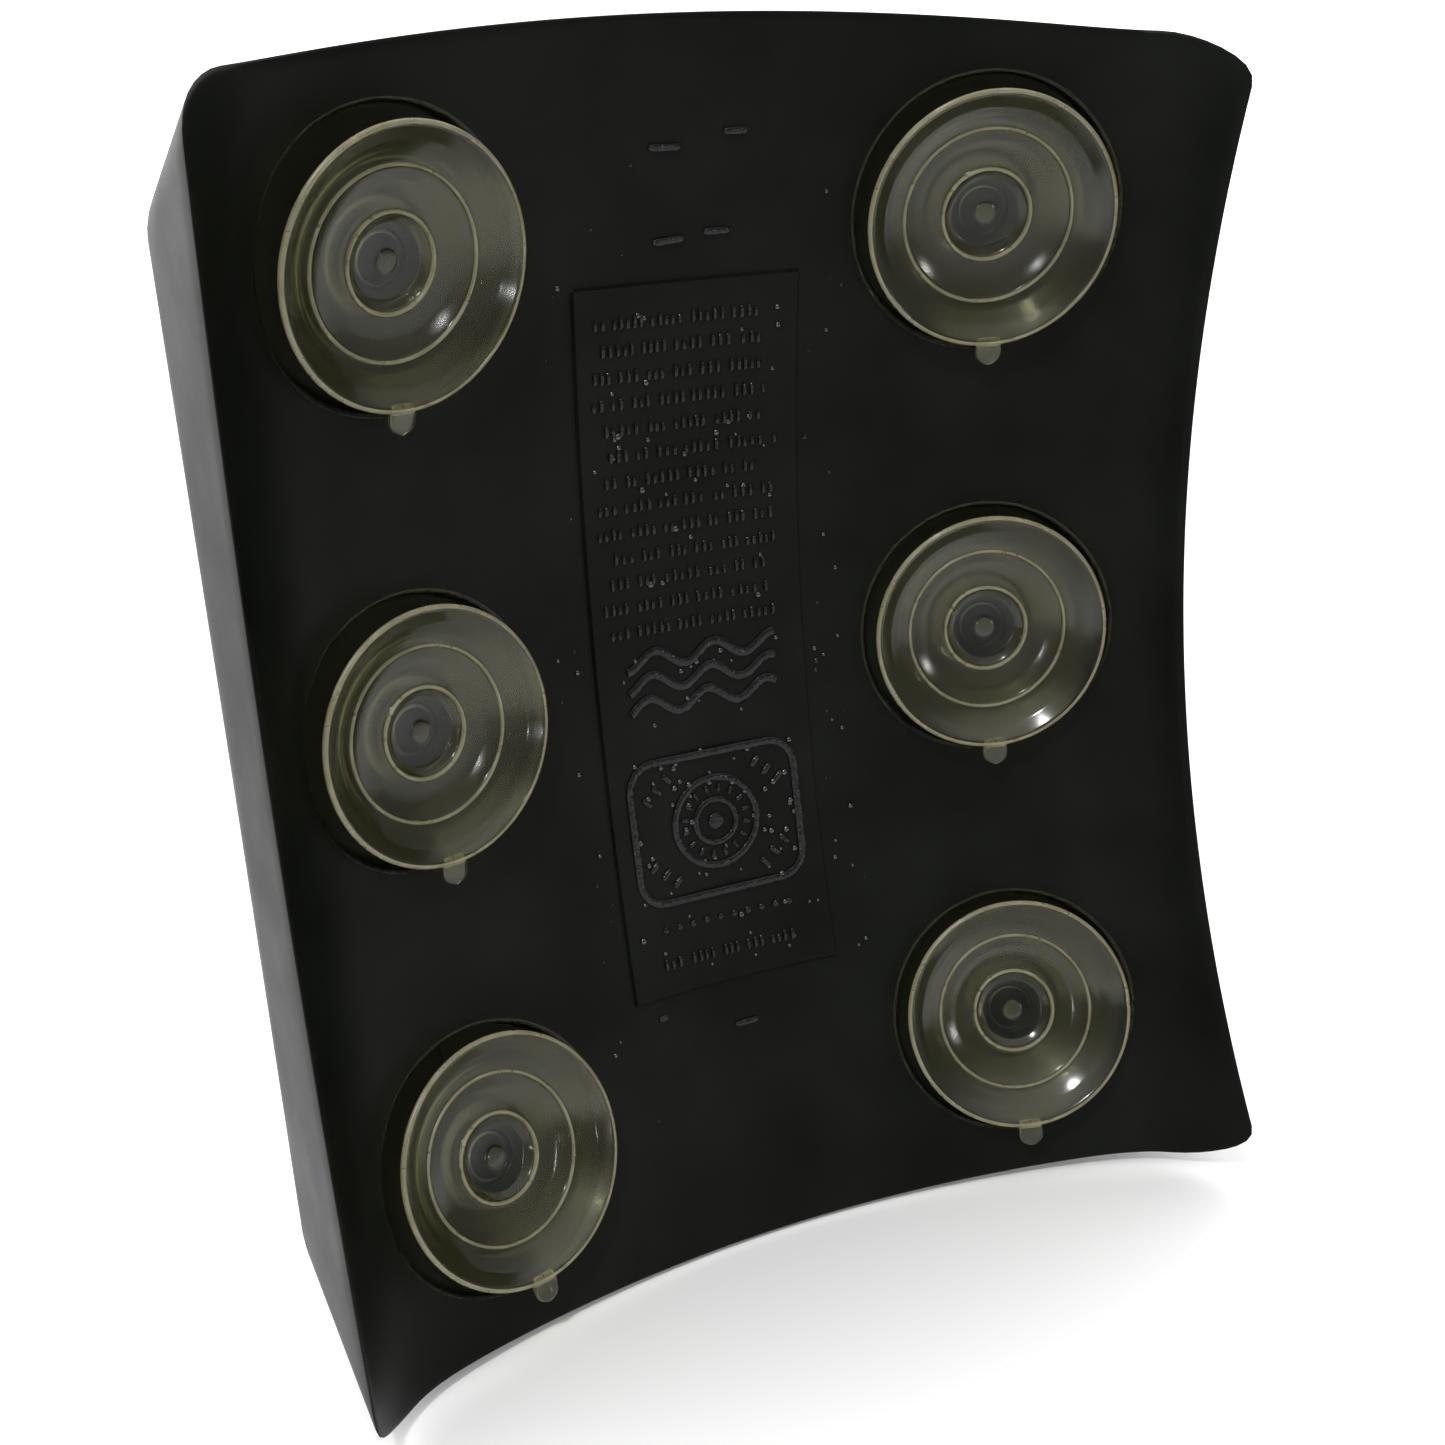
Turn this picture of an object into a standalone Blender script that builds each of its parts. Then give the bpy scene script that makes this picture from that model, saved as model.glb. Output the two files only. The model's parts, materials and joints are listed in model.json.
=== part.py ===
"""Flat submersible aquarium heater that is held by six suction cups.

Frame: metres, X to the right and Z up as seen from the suction-cup side, +Y from the cups towards the
heated front. The origin is the deepest point of the dished back.
"""

import math

import bmesh
import bpy
from mathutils import Matrix, Vector

MM = 0.001
GAP = 0.3 * MM

# Dished back: y = -(x^2 / 2Rx + z^2 / 2Rz) - curl * (x / half_width)^power
DISH_RADIUS_X = 170 * MM
DISH_RADIUS_Z = 345 * MM
EDGE_CURL = 16 * MM
CURL_POWER = 16

# Outline of the back, at its edge
HALF_WIDTH = 88 * MM
TOP = 103.8 * MM
BOTTOM = 107.8 * MM
TOP_CROWN = 9.1 * MM
BOTTOM_CROWN = 2.8 * MM
WAIST = 1.6 * MM
CORNER_RADIUS = 9 * MM

# Front: a shoulder line round the side walls, then a slope up to a flat front
SHOULDER_Y = -10 * MM
SHOULDER_BULGE = 24 * MM
SHOULDER_HALF_WIDTH = 89 * MM
SHOULDER_TOP = 91.5 * MM
SHOULDER_BOTTOM = 93 * MM
FRONT_Y = 26 * MM
FRONT_HALF_WIDTH = 75 * MM
FRONT_TOP = 91 * MM
FRONT_BOTTOM = 86 * MM

# Opening in the front, closed by the cover
COVER_HALF_WIDTH = 71 * MM
COVER_TOP = 87 * MM
COVER_BOTTOM = 82 * MM
COVER_RADIUS = 9 * MM
COVER_THICKNESS = 3 * MM
COVER_RIBS = 9
RIB_PITCH = 12 * MM
RIB_WIDTH = 2.4 * MM
RIB_HEIGHT = 1.6 * MM
LEDGE_WIDTH = 10.5 * MM
GASKET_THICKNESS = 1.2 * MM
GASKET_WIDTH = 3 * MM
LEDGE_Y = FRONT_Y - COVER_THICKNESS - GASKET_THICKNESS - 2 * GAP
CAVITY_HALF_WIDTH = COVER_HALF_WIDTH - LEDGE_WIDTH
CAVITY_TOP = COVER_TOP - LEDGE_WIDTH
CAVITY_BOTTOM = COVER_BOTTOM - LEDGE_WIDTH
CAVITY_RADIUS = 6 * MM
FLOOR_THICKNESS = 3.5 * MM

# Suction cups
CUP_RADIUS = 22.5 * MM
CUP_ROWS = {"upper": (54.8 * MM, 77.5 * MM), "middle": (56.6 * MM, 0.0), "lower": (54.8 * MM, -77.5 * MM)}
CUP_SIDES = {"left": -1, "right": 1}
CUP_TILT_X = 0.33
CUP_TILT_Z = 0.28
RECESS_RADIUS = 23.6 * MM
RECESS_DEPTH = 2.2 * MM
CUP_RIM_HEIGHT = 9.2 * MM
CUP_TAB_LENGTH = 4 * MM
CUP_TAB_WIDTH = 5 * MM
CUP_TAB_THICKNESS = 1.3 * MM
CUP_STEM_RADIUS = 4 * MM
CUP_HEAD_RADIUS = 6.2 * MM
SOCKET_LIP = 2.2 * MM
SOCKET_DEPTH = 7 * MM
SOCKET_CLEARANCE = 0.5 * MM
SOCKET_BOSS_RADIUS = 10 * MM

# Label panel on the back
LABEL_HALF_WIDTH = 21.6 * MM
LABEL_TOP = 69 * MM
LABEL_BOTTOM = -61 * MM
LABEL_HEIGHT = 0.8 * MM

# Fasteners
SCREW_SHANK_RADIUS = 1.5 * MM
SCREW_HEAD_RADIUS = 2.9 * MM
SCREW_HEAD_HEIGHT = 1.8 * MM
SCREW_LENGTH = 12 * MM
SCREW_INSET = 4 * MM
PILOT_RADIUS = SCREW_SHANK_RADIUS + GAP

# Temperature dial
DIAL_X = 0.0
DIAL_Z = 60 * MM
KNOB_RADIUS = 12 * MM
KNOB_HEIGHT = 8 * MM
SHAFT_RADIUS = 3 * MM

# Indicator
LAMP_X = 36 * MM
LAMP_Z = 62 * MM
LAMP_RADIUS = 3.2 * MM

# Heater
SPREADER_THICKNESS = 1.5 * MM
SPREADER_MARGIN = 4 * MM
ELEMENT_RADIUS = 1.7 * MM
ELEMENT_PITCH = 12 * MM
ELEMENT_RUNS = 8
ELEMENT_TOP = 26 * MM
ELEMENT_BOTTOM = -64 * MM
CLAMP_THICKNESS = 1.2 * MM
INSULATION_THICKNESS = 1.5 * MM

# Electronics
BOARD_Y = 7 * MM
BOARD_THICKNESS = 1.6 * MM
BOARD_HALF_WIDTH = 38 * MM
BOARD_BOTTOM = 34 * MM
BOARD_TOP = 70 * MM
BOARD_SCREW_RADIUS = 1 * MM
FUSE_RADIUS = 2 * MM

# Cord gland through the top wall
GLAND_X = 42 * MM
GLAND_Y = 9 * MM
GLAND_SEAT_Z = 99 * MM
GLAND_RADIUS = 5 * MM

OBJECT_NAME = "aquarium_heater"


def clear_scene():
    for obj in list(bpy.data.objects):
        bpy.data.objects.remove(obj, do_unlink=True)


def make_collection(name):
    collection = bpy.data.collections.new(name)
    bpy.context.scene.collection.children.link(collection)
    return collection


def make_material(name, color, roughness, metallic=0.0, alpha=1.0):
    material = bpy.data.materials.new(name)
    material.use_nodes = True
    shader = material.node_tree.nodes["Principled BSDF"]
    shader.inputs["Base Color"].default_value = (*color, 1.0)
    shader.inputs["Roughness"].default_value = roughness
    shader.inputs["Metallic"].default_value = metallic
    shader.inputs["Alpha"].default_value = alpha
    return material


clear_scene()
PARTS = make_collection(OBJECT_NAME)
CUTTERS = make_collection("cutters")

BLACK_BODY = make_material("black_body", (0.012, 0.013, 0.012), 0.5)
CLEAR_PVC = make_material("clear_pvc", (0.62, 0.62, 0.5), 0.15, alpha=0.4)
BLACK_RUBBER = make_material("black_rubber", (0.02, 0.02, 0.02), 0.8)
ALUMINIUM = make_material("aluminium_plate", (0.75, 0.76, 0.78), 0.35, 1.0)
STEEL = make_material("stainless_steel", (0.6, 0.6, 0.6), 0.3, 1.0)
GREEN_BOARD = make_material("circuit_board", (0.02, 0.16, 0.06), 0.45)
GREY_PLASTIC = make_material("grey_plastic", (0.25, 0.26, 0.27), 0.5)
WHITE_FELT = make_material("insulation", (0.75, 0.73, 0.68), 0.95)
RED_LENS = make_material("red_lens", (0.6, 0.03, 0.02), 0.15)
BRASS = make_material("brass", (0.7, 0.5, 0.2), 0.3, 1.0)


# ---- shapes --------------------------------------------------------------------------------------


def dish_y(x, z):
    """Height of the dished back at (x, z)."""
    curl = EDGE_CURL * (x / HALF_WIDTH) ** CURL_POWER
    return -x * x / (2 * DISH_RADIUS_X) - z * z / (2 * DISH_RADIUS_Z) - curl


def floor_y(x, z):
    """Cavity floor: the back surface moved in by the floor's thickness along its normal."""
    curl = CURL_POWER * EDGE_CURL / HALF_WIDTH * (x / HALF_WIDTH) ** (CURL_POWER - 1)
    slope_x = x / DISH_RADIUS_X + curl
    slope_z = z / DISH_RADIUS_Z
    return dish_y(x, z) + FLOOR_THICKNESS * math.sqrt(1 + slope_x**2 + slope_z**2)


def rounded_rectangle(half_width, top, bottom, radius, arc_steps=4, edge_steps=10):
    """Closed (x, z) loop, anticlockwise from the right, with the same number of points at any size."""
    corners = (
        (half_width - radius, top - radius),
        (-half_width + radius, top - radius),
        (-half_width + radius, -bottom + radius),
        (half_width - radius, -bottom + radius),
    )
    arcs = []
    for quarter, (cx, cz) in enumerate(corners):
        angles = [math.radians(90 * (quarter + step / arc_steps)) for step in range(arc_steps + 1)]
        arcs.append([(cx + radius * math.cos(a), cz + radius * math.sin(a)) for a in angles])
    loop = []
    for quarter, arc in enumerate(arcs):
        loop += arc
        start = Vector(arc[-1])
        end = Vector(arcs[(quarter + 1) % 4][0])
        loop += [tuple(start.lerp(end, step / edge_steps)) for step in range(1, edge_steps)]
    return loop


def bowed(loop, half_width, top, bottom, top_crown, bottom_crown, waist):
    """The loop with its top and bottom edges bowed out and its sides drawn in at the middle."""
    points = []
    for x, z in loop:
        crown = top_crown / top if z > 0 else bottom_crown / bottom
        height = top if z > 0 else bottom
        across = 1 - (x / half_width) ** 2
        along = 1 - (z / height) ** 2
        points.append((x * (1 - waist / half_width * along), z * (1 + crown * across)))
    return points


def add_object(name, mesh, material=None, collection=None):
    obj = bpy.data.objects.new(name, mesh)
    (collection or PARTS).objects.link(obj)
    if material:
        mesh.materials.append(material)
    return obj


def mesh_from_bmesh(name, bm):
    bmesh.ops.recalc_face_normals(bm, faces=bm.faces[:])
    mesh = bpy.data.meshes.new(name)
    bm.to_mesh(mesh)
    bm.free()
    return mesh


def skin(name, rings, start=None, end=None):
    """Closed loft through the rings of points; each end is a flat cap, or a fan to the point given."""
    bm = bmesh.new()
    loops = [[bm.verts.new(point) for point in ring] for ring in rings]
    count = len(loops[0])
    for first, second in zip(loops, loops[1:]):
        for i in range(count):
            j = (i + 1) % count
            bm.faces.new((first[i], first[j], second[j], second[i]))
    for loop, tip in ((loops[0], start), (loops[-1], end)):
        if tip is None:
            bm.faces.new(loop)
            continue
        centre = bm.verts.new(tip)
        for i in range(count):
            bm.faces.new((loop[i], loop[(i + 1) % count], centre))
    return mesh_from_bmesh(name, bm)


def box(name, low, high, material=None, collection=None, bevel=0.0):
    bm = bmesh.new()
    bmesh.ops.create_cube(bm, size=1)
    size = Vector(high) - Vector(low)
    bmesh.ops.scale(bm, vec=size, verts=bm.verts[:])
    bmesh.ops.translate(bm, vec=(Vector(high) + Vector(low)) / 2, verts=bm.verts[:])
    if bevel:
        bmesh.ops.bevel(bm, geom=bm.edges[:], offset=bevel, segments=1, affect="EDGES")
    return add_object(name, mesh_from_bmesh(name, bm), material, collection)


def cylinder(name, radius, low, high, material=None, collection=None, sides=24):
    """Cylinder between two points."""
    low, high = Vector(low), Vector(high)
    axis = high - low
    bm = bmesh.new()
    bmesh.ops.create_cone(
        bm, cap_ends=True, segments=sides, radius1=radius, radius2=radius, depth=axis.length
    )
    turn = Vector((0, 0, 1)).rotation_difference(axis).to_matrix().to_4x4()
    bmesh.ops.transform(bm, matrix=Matrix.Translation((low + high) / 2) @ turn, verts=bm.verts[:])
    return add_object(name, mesh_from_bmesh(name, bm), material, collection)


def upright(name, radius, low, high, material=None, sides=24):
    """Cylinder on the gland's axis between two heights; a cutter if it has no material."""
    collection = PARTS if material else CUTTERS
    ends = (GLAND_X, GLAND_Y, low), (GLAND_X, GLAND_Y, high)
    return cylinder(name, radius, *ends, material, collection, sides)


def turned(name, profile, steps=24):
    """Solid of revolution about its own Z; the (radius, height) profile runs down the outer side."""
    mesh = bpy.data.meshes.new(name)
    edges = [(i, i + 1) for i in range(len(profile) - 1)]
    mesh.from_pydata([(radius, 0, height) for radius, height in profile], edges, [])
    obj = add_object(name, mesh)
    screw = obj.modifiers.new("turn", "SCREW")
    screw.steps = screw.render_steps = steps
    screw.use_merge_vertices = True
    screw.merge_threshold = 1e-6
    return obj


def hide_cutter(obj):
    obj.hide_render = True
    obj.display_type = "WIRE"
    return obj


def boolean(obj, other, operation):
    modifier = obj.modifiers.new(other.name, "BOOLEAN")
    modifier.operation = operation
    modifier.object = hide_cutter(other)
    modifier.solver = "EXACT"


def baked(obj, material=None):
    """The object with its modifiers applied and its mesh cleaned, ready to be shared."""
    bpy.context.view_layer.update()
    evaluated = obj.evaluated_get(bpy.context.evaluated_depsgraph_get())
    mesh = bpy.data.meshes.new_from_object(evaluated)
    bm = bmesh.new()
    bm.from_mesh(mesh)
    bmesh.ops.remove_doubles(bm, verts=bm.verts[:], dist=1e-7)
    bm.to_mesh(mesh)
    bm.free()
    mesh.materials.clear()
    if material:
        mesh.materials.append(material)
    name, matrix = obj.name, obj.matrix_world.copy()
    collection = obj.users_collection[0]
    bpy.data.objects.remove(obj, do_unlink=True)
    mesh.name = name
    result = bpy.data.objects.new(name, mesh)
    collection.objects.link(result)
    result.matrix_world = matrix
    return result


# ---- suction cups --------------------------------------------------------------------------------


def cup_places():
    """Yields (name, matrix) for each cup: +Z points out of the cup, the origin is on the recess floor."""
    for row, (x, z) in CUP_ROWS.items():
        for side, sign in CUP_SIDES.items():
            surface = Vector((sign * x, dish_y(x, z), z))
            lean_z = -math.copysign(CUP_TILT_Z, z) if z else 0.0
            outward = Vector((-sign * CUP_TILT_X, -1, lean_z)).normalized()
            across = Vector((0, 0, 1)).cross(outward).normalized()
            up = outward.cross(across)
            turn = Matrix((across, up, outward)).transposed().to_4x4()
            floor = surface - outward * RECESS_DEPTH
            yield f"{row}_{side}", Matrix.Translation(floor) @ turn


def cup_profile():
    """(radius, height) of the cup, from the middle of its open face down its outer side to the button."""
    rim = CUP_RIM_HEIGHT
    return [
        (0, 2.9 * MM),
        (7.6 * MM, 3.0 * MM),
        (8.1 * MM, 3.6 * MM),
        (8.6 * MM, 3.1 * MM),
        (13 * MM, 4.0 * MM),
        (17.5 * MM, 6.2 * MM),
        (CUP_RADIUS - 1.6 * MM, rim),
        (CUP_RADIUS, rim),
        (CUP_RADIUS, rim - 0.9 * MM),
        (18 * MM, 4.6 * MM),
        (13 * MM, 2.0 * MM),
        (8 * MM, GAP),
        (CUP_STEM_RADIUS, GAP),
        (CUP_STEM_RADIUS, -SOCKET_LIP - 0.5 * MM),
        (CUP_HEAD_RADIUS, -SOCKET_LIP - 0.6 * MM),
        (CUP_HEAD_RADIUS, -SOCKET_LIP - 2.6 * MM),
        (4.5 * MM, -SOCKET_DEPTH + 0.7 * MM),
        (0, -SOCKET_DEPTH + 0.7 * MM),
    ]


def make_cups():
    cup = turned("cup_pattern", cup_profile())
    tab_top = CUP_RIM_HEIGHT - 0.3 * MM
    half_width = CUP_TAB_WIDTH / 2
    tab = box(
        "cup_tab",
        (-half_width, -CUP_RADIUS - CUP_TAB_LENGTH, tab_top - CUP_TAB_THICKNESS),
        (half_width, -CUP_RADIUS + 1.2 * MM, tab_top),
        collection=CUTTERS,
        bevel=0.4 * MM,
    )
    boolean(cup, tab, "UNION")
    pattern = baked(cup, CLEAR_PVC)
    for place, matrix in cup_places():
        obj = bpy.data.objects.new(f"suction_cup_{place}", pattern.data)
        PARTS.objects.link(obj)
        obj.matrix_world = matrix
    bpy.data.objects.remove(pattern, do_unlink=True)


# ---- housing -------------------------------------------------------------------------------------


def back_loop(scale=1.0):
    loop = rounded_rectangle(HALF_WIDTH, TOP, BOTTOM, CORNER_RADIUS)
    loop = bowed(loop, HALF_WIDTH, TOP, BOTTOM, TOP_CROWN, BOTTOM_CROWN, WAIST)
    return [(x * scale, dish_y(x * scale, z * scale), z * scale) for x, z in loop]


def shoulder_loop():
    size = (SHOULDER_HALF_WIDTH, SHOULDER_TOP, SHOULDER_BOTTOM)
    loop = bowed(rounded_rectangle(*size, CORNER_RADIUS), *size, TOP_CROWN, BOTTOM_CROWN, waist=0)
    points = []
    for x, z in loop:
        bulge = SHOULDER_BULGE * (1 - min(1, abs(x) / SHOULDER_HALF_WIDTH) ** 2)
        points.append((x, SHOULDER_Y + bulge, z))
    return points


def flat_loop(half_width, top, bottom, radius, y):
    return [(x, y, z) for x, z in rounded_rectangle(half_width, top, bottom, radius)]


def cavity_floor_loop(scale=1.0):
    loop = rounded_rectangle(CAVITY_HALF_WIDTH, CAVITY_TOP, CAVITY_BOTTOM, CAVITY_RADIUS)
    return [(x * scale, floor_y(x * scale, z * scale), z * scale) for x, z in loop]


def housing_mesh():
    back_scales = (0.2, 0.4, 0.56, 0.7, 0.8, 0.87, 0.92, 0.96, 0.985, 1.0)
    floor_scales = (1.0, 0.75, 0.5, 0.25)
    cover_size = (COVER_HALF_WIDTH + GAP, COVER_TOP + GAP, COVER_BOTTOM + GAP, COVER_RADIUS)
    cavity_size = (CAVITY_HALF_WIDTH, CAVITY_TOP, CAVITY_BOTTOM, CAVITY_RADIUS)
    rings = [back_loop(scale) for scale in back_scales]
    rings.append(shoulder_loop())
    rings.append(flat_loop(FRONT_HALF_WIDTH, FRONT_TOP, FRONT_BOTTOM, COVER_RADIUS, FRONT_Y))
    rings.append(flat_loop(*cover_size, FRONT_Y))
    rings.append(flat_loop(*cover_size, LEDGE_Y))
    rings.append(flat_loop(*cavity_size, LEDGE_Y))
    rings += [cavity_floor_loop(scale) for scale in floor_scales]
    return skin("housing", rings, start=(0, 0, 0), end=(0, floor_y(0, 0), 0))


def label_mesh():
    """Thin slab that stands LABEL_HEIGHT out of the dish and follows it."""
    columns, rows = 4, 12
    bm = bmesh.new()
    bmesh.ops.create_grid(bm, x_segments=columns, y_segments=rows, size=0.5)
    for vert in bm.verts:
        x = 2 * LABEL_HALF_WIDTH * vert.co.x
        z = (LABEL_TOP + LABEL_BOTTOM) / 2 + (LABEL_TOP - LABEL_BOTTOM) * vert.co.y
        vert.co = (x, dish_y(x, z) - LABEL_HEIGHT, z)
    raised = bmesh.ops.extrude_face_region(bm, geom=bm.faces[:])["geom"]
    bmesh.ops.translate(
        bm, vec=(0, 2 * MM, 0), verts=[item for item in raised if isinstance(item, bmesh.types.BMVert)]
    )
    return mesh_from_bmesh("label_panel", bm)


def screw_places():
    """(x, z) of the cover screws, on the ledge outside the gasket."""
    side = COVER_HALF_WIDTH - SCREW_INSET
    top = COVER_TOP - SCREW_INSET
    bottom = -COVER_BOTTOM + SCREW_INSET
    corner = 2 * MM
    return [
        (-side + corner, top - corner),
        (0.0, top),
        (side - corner, top - corner),
        (side, 0.0),
        (side - corner, bottom + corner),
        (0.0, bottom),
        (-side + corner, bottom + corner),
        (-side, 0.0),
    ]


def board_posts():
    """(x, z) of the posts that carry the circuit board."""
    inset = 4 * MM
    return [
        (-BOARD_HALF_WIDTH + inset, BOARD_TOP - inset),
        (BOARD_HALF_WIDTH - inset, BOARD_BOTTOM + inset),
        (BOARD_HALF_WIDTH - inset, BOARD_TOP - inset),
        (-BOARD_HALF_WIDTH + inset, BOARD_BOTTOM + inset),
    ]


def make_housing():
    housing = add_object("housing", housing_mesh(), BLACK_BODY)
    for place, matrix in cup_places():
        boss = cylinder(
            f"boss_{place}", SOCKET_BOSS_RADIUS, (0, 0, -SOCKET_DEPTH - 2 * MM), (0, 0, -1 * MM),
            collection=CUTTERS,
        )
        boss.matrix_world = matrix
        boolean(housing, boss, "UNION")
    boolean(housing, add_object("label_panel", label_mesh(), collection=CUTTERS), "UNION")
    for i, (x, z) in enumerate(board_posts()):
        low = (x, floor_y(x, z) - 2 * MM, z)
        post = cylinder(f"post_{i}", 3 * MM, low, (x, BOARD_Y - GAP, z), collection=CUTTERS, sides=12)
        boolean(housing, post, "UNION")
    boolean(housing, upright("gland_seat", 11 * MM, CAVITY_TOP + 4 * MM, GLAND_SEAT_Z), "UNION")
    for place, matrix in cup_places():
        recess = cylinder(
            f"recess_{place}", RECESS_RADIUS, (0, 0, 0), (0, 0, 30 * MM), collection=CUTTERS, sides=32
        )
        mouth = cylinder(
            f"mouth_{place}", CUP_STEM_RADIUS + SOCKET_CLEARANCE, (0, 0, -SOCKET_LIP - 1 * MM),
            (0, 0, 1 * MM), collection=CUTTERS,
        )
        socket = cylinder(
            f"socket_{place}", CUP_HEAD_RADIUS + SOCKET_CLEARANCE, (0, 0, -SOCKET_DEPTH),
            (0, 0, -SOCKET_LIP), collection=CUTTERS,
        )
        for cutter in (recess, mouth, socket):
            cutter.matrix_world = matrix
            boolean(housing, cutter, "DIFFERENCE")
    for i, (x, z) in enumerate(screw_places()):
        hole = cylinder(
            f"pilot_{i}", PILOT_RADIUS, (x, FRONT_Y - SCREW_LENGTH - 2 * MM, z), (x, FRONT_Y, z),
            collection=CUTTERS, sides=12,
        )
        boolean(housing, hole, "DIFFERENCE")
    for i, (x, z) in enumerate(board_posts()[:2]):
        hole = cylinder(
            f"post_hole_{i}", BOARD_SCREW_RADIUS + GAP,
            (x, BOARD_Y - 6 * MM, z), (x, BOARD_Y + 1 * MM, z),
            collection=CUTTERS, sides=10,
        )
        boolean(housing, hole, "DIFFERENCE")
    spot_face = upright("gland_spot_face", 11.4 * MM, GLAND_SEAT_Z, GLAND_SEAT_Z + 20 * MM)
    boolean(housing, spot_face, "DIFFERENCE")
    bore = upright("gland_bore", GLAND_RADIUS + GAP, CAVITY_TOP - 5 * MM, GLAND_SEAT_Z + 5 * MM)
    boolean(housing, bore, "DIFFERENCE")


# ---- front cover, gasket and screws --------------------------------------------------------------


def make_cover():
    rim = (COVER_HALF_WIDTH, COVER_TOP, COVER_BOTTOM, COVER_RADIUS)
    rings = [flat_loop(*rim, FRONT_Y), flat_loop(*rim, FRONT_Y - COVER_THICKNESS)]
    cover = add_object("front_cover", skin("front_cover", rings), BLACK_BODY)
    for i in range(COVER_RIBS):
        x = (i - (COVER_RIBS - 1) / 2) * RIB_PITCH
        rib = box(
            f"rib_{i}",
            (x - RIB_WIDTH / 2, FRONT_Y - 1 * MM, ELEMENT_BOTTOM),
            (x + RIB_WIDTH / 2, FRONT_Y + RIB_HEIGHT, ELEMENT_TOP),
            collection=CUTTERS,
        )
        boolean(cover, rib, "UNION")
    for i, (x, z) in enumerate(screw_places()):
        hole = cylinder(
            f"cover_hole_{i}", PILOT_RADIUS, (x, FRONT_Y - 5 * MM, z), (x, FRONT_Y + 1 * MM, z),
            collection=CUTTERS, sides=12,
        )
        boolean(cover, hole, "DIFFERENCE")
    holes = (
        ("dial_hole", SHAFT_RADIUS + 0.5 * MM, DIAL_X, DIAL_Z),
        ("lamp_hole", LAMP_RADIUS + GAP, LAMP_X, LAMP_Z),
    )
    for name, radius, x, z in holes:
        hole = cylinder(
            name, radius, (x, FRONT_Y - 5 * MM, z), (x, FRONT_Y + 1 * MM, z), collection=CUTTERS
        )
        boolean(cover, hole, "DIFFERENCE")


def make_gasket():
    """Flat ring on the ledge, between the screws and the cavity."""
    inset = 0.5 * MM
    inner = [size + inset for size in (CAVITY_HALF_WIDTH, CAVITY_TOP, CAVITY_BOTTOM, CAVITY_RADIUS)]
    outer = [size + GASKET_WIDTH for size in inner]
    low = LEDGE_Y + GAP
    high = low + GASKET_THICKNESS
    ring = skin("cover_gasket", [flat_loop(*outer, low), flat_loop(*outer, high)])
    gasket = add_object("cover_gasket", ring, BLACK_RUBBER)
    middle = skin("gasket_hole", [flat_loop(*inner, low - MM), flat_loop(*inner, high + MM)])
    boolean(gasket, add_object("gasket_hole", middle, collection=CUTTERS), "DIFFERENCE")


def screw_pattern(name, length, head_radius, head_height, shank_radius):
    """Pan-head screw about its local Z, its head's underside at the origin and its shank towards -Z."""
    return turned(
        name,
        [
            (0, head_height),
            (head_radius * 0.6, head_height),
            (head_radius, head_height * 0.45),
            (head_radius, 0),
            (shank_radius, 0),
            (shank_radius, -length + shank_radius),
            (0.3 * MM, -length),
            (0, -length),
        ],
        steps=12,
    )


def make_screws():
    sizes = (SCREW_LENGTH, SCREW_HEAD_RADIUS, SCREW_HEAD_HEIGHT, SCREW_SHANK_RADIUS)
    pattern = baked(screw_pattern("cover_screw", *sizes), STEEL)
    facing_front = Matrix.Rotation(math.radians(-90), 4, "X")
    for i, (x, z) in enumerate(screw_places(), start=1):
        obj = bpy.data.objects.new(f"cover_screw_{i}", pattern.data)
        PARTS.objects.link(obj)
        obj.matrix_world = Matrix.Translation((x, FRONT_Y + GAP, z)) @ facing_front
    bpy.data.objects.remove(pattern, do_unlink=True)
    pattern = baked(screw_pattern("board_screw", 5 * MM, 2 * MM, 1.4 * MM, BOARD_SCREW_RADIUS), STEEL)
    for i, (x, z) in enumerate(board_posts()[:2], start=1):
        obj = bpy.data.objects.new(f"board_screw_{i}", pattern.data)
        PARTS.objects.link(obj)
        obj.matrix_world = Matrix.Translation((x, BOARD_Y + BOARD_THICKNESS + GAP, z)) @ facing_front
    bpy.data.objects.remove(pattern, do_unlink=True)


# ---- dial and indicator --------------------------------------------------------------------------


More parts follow.
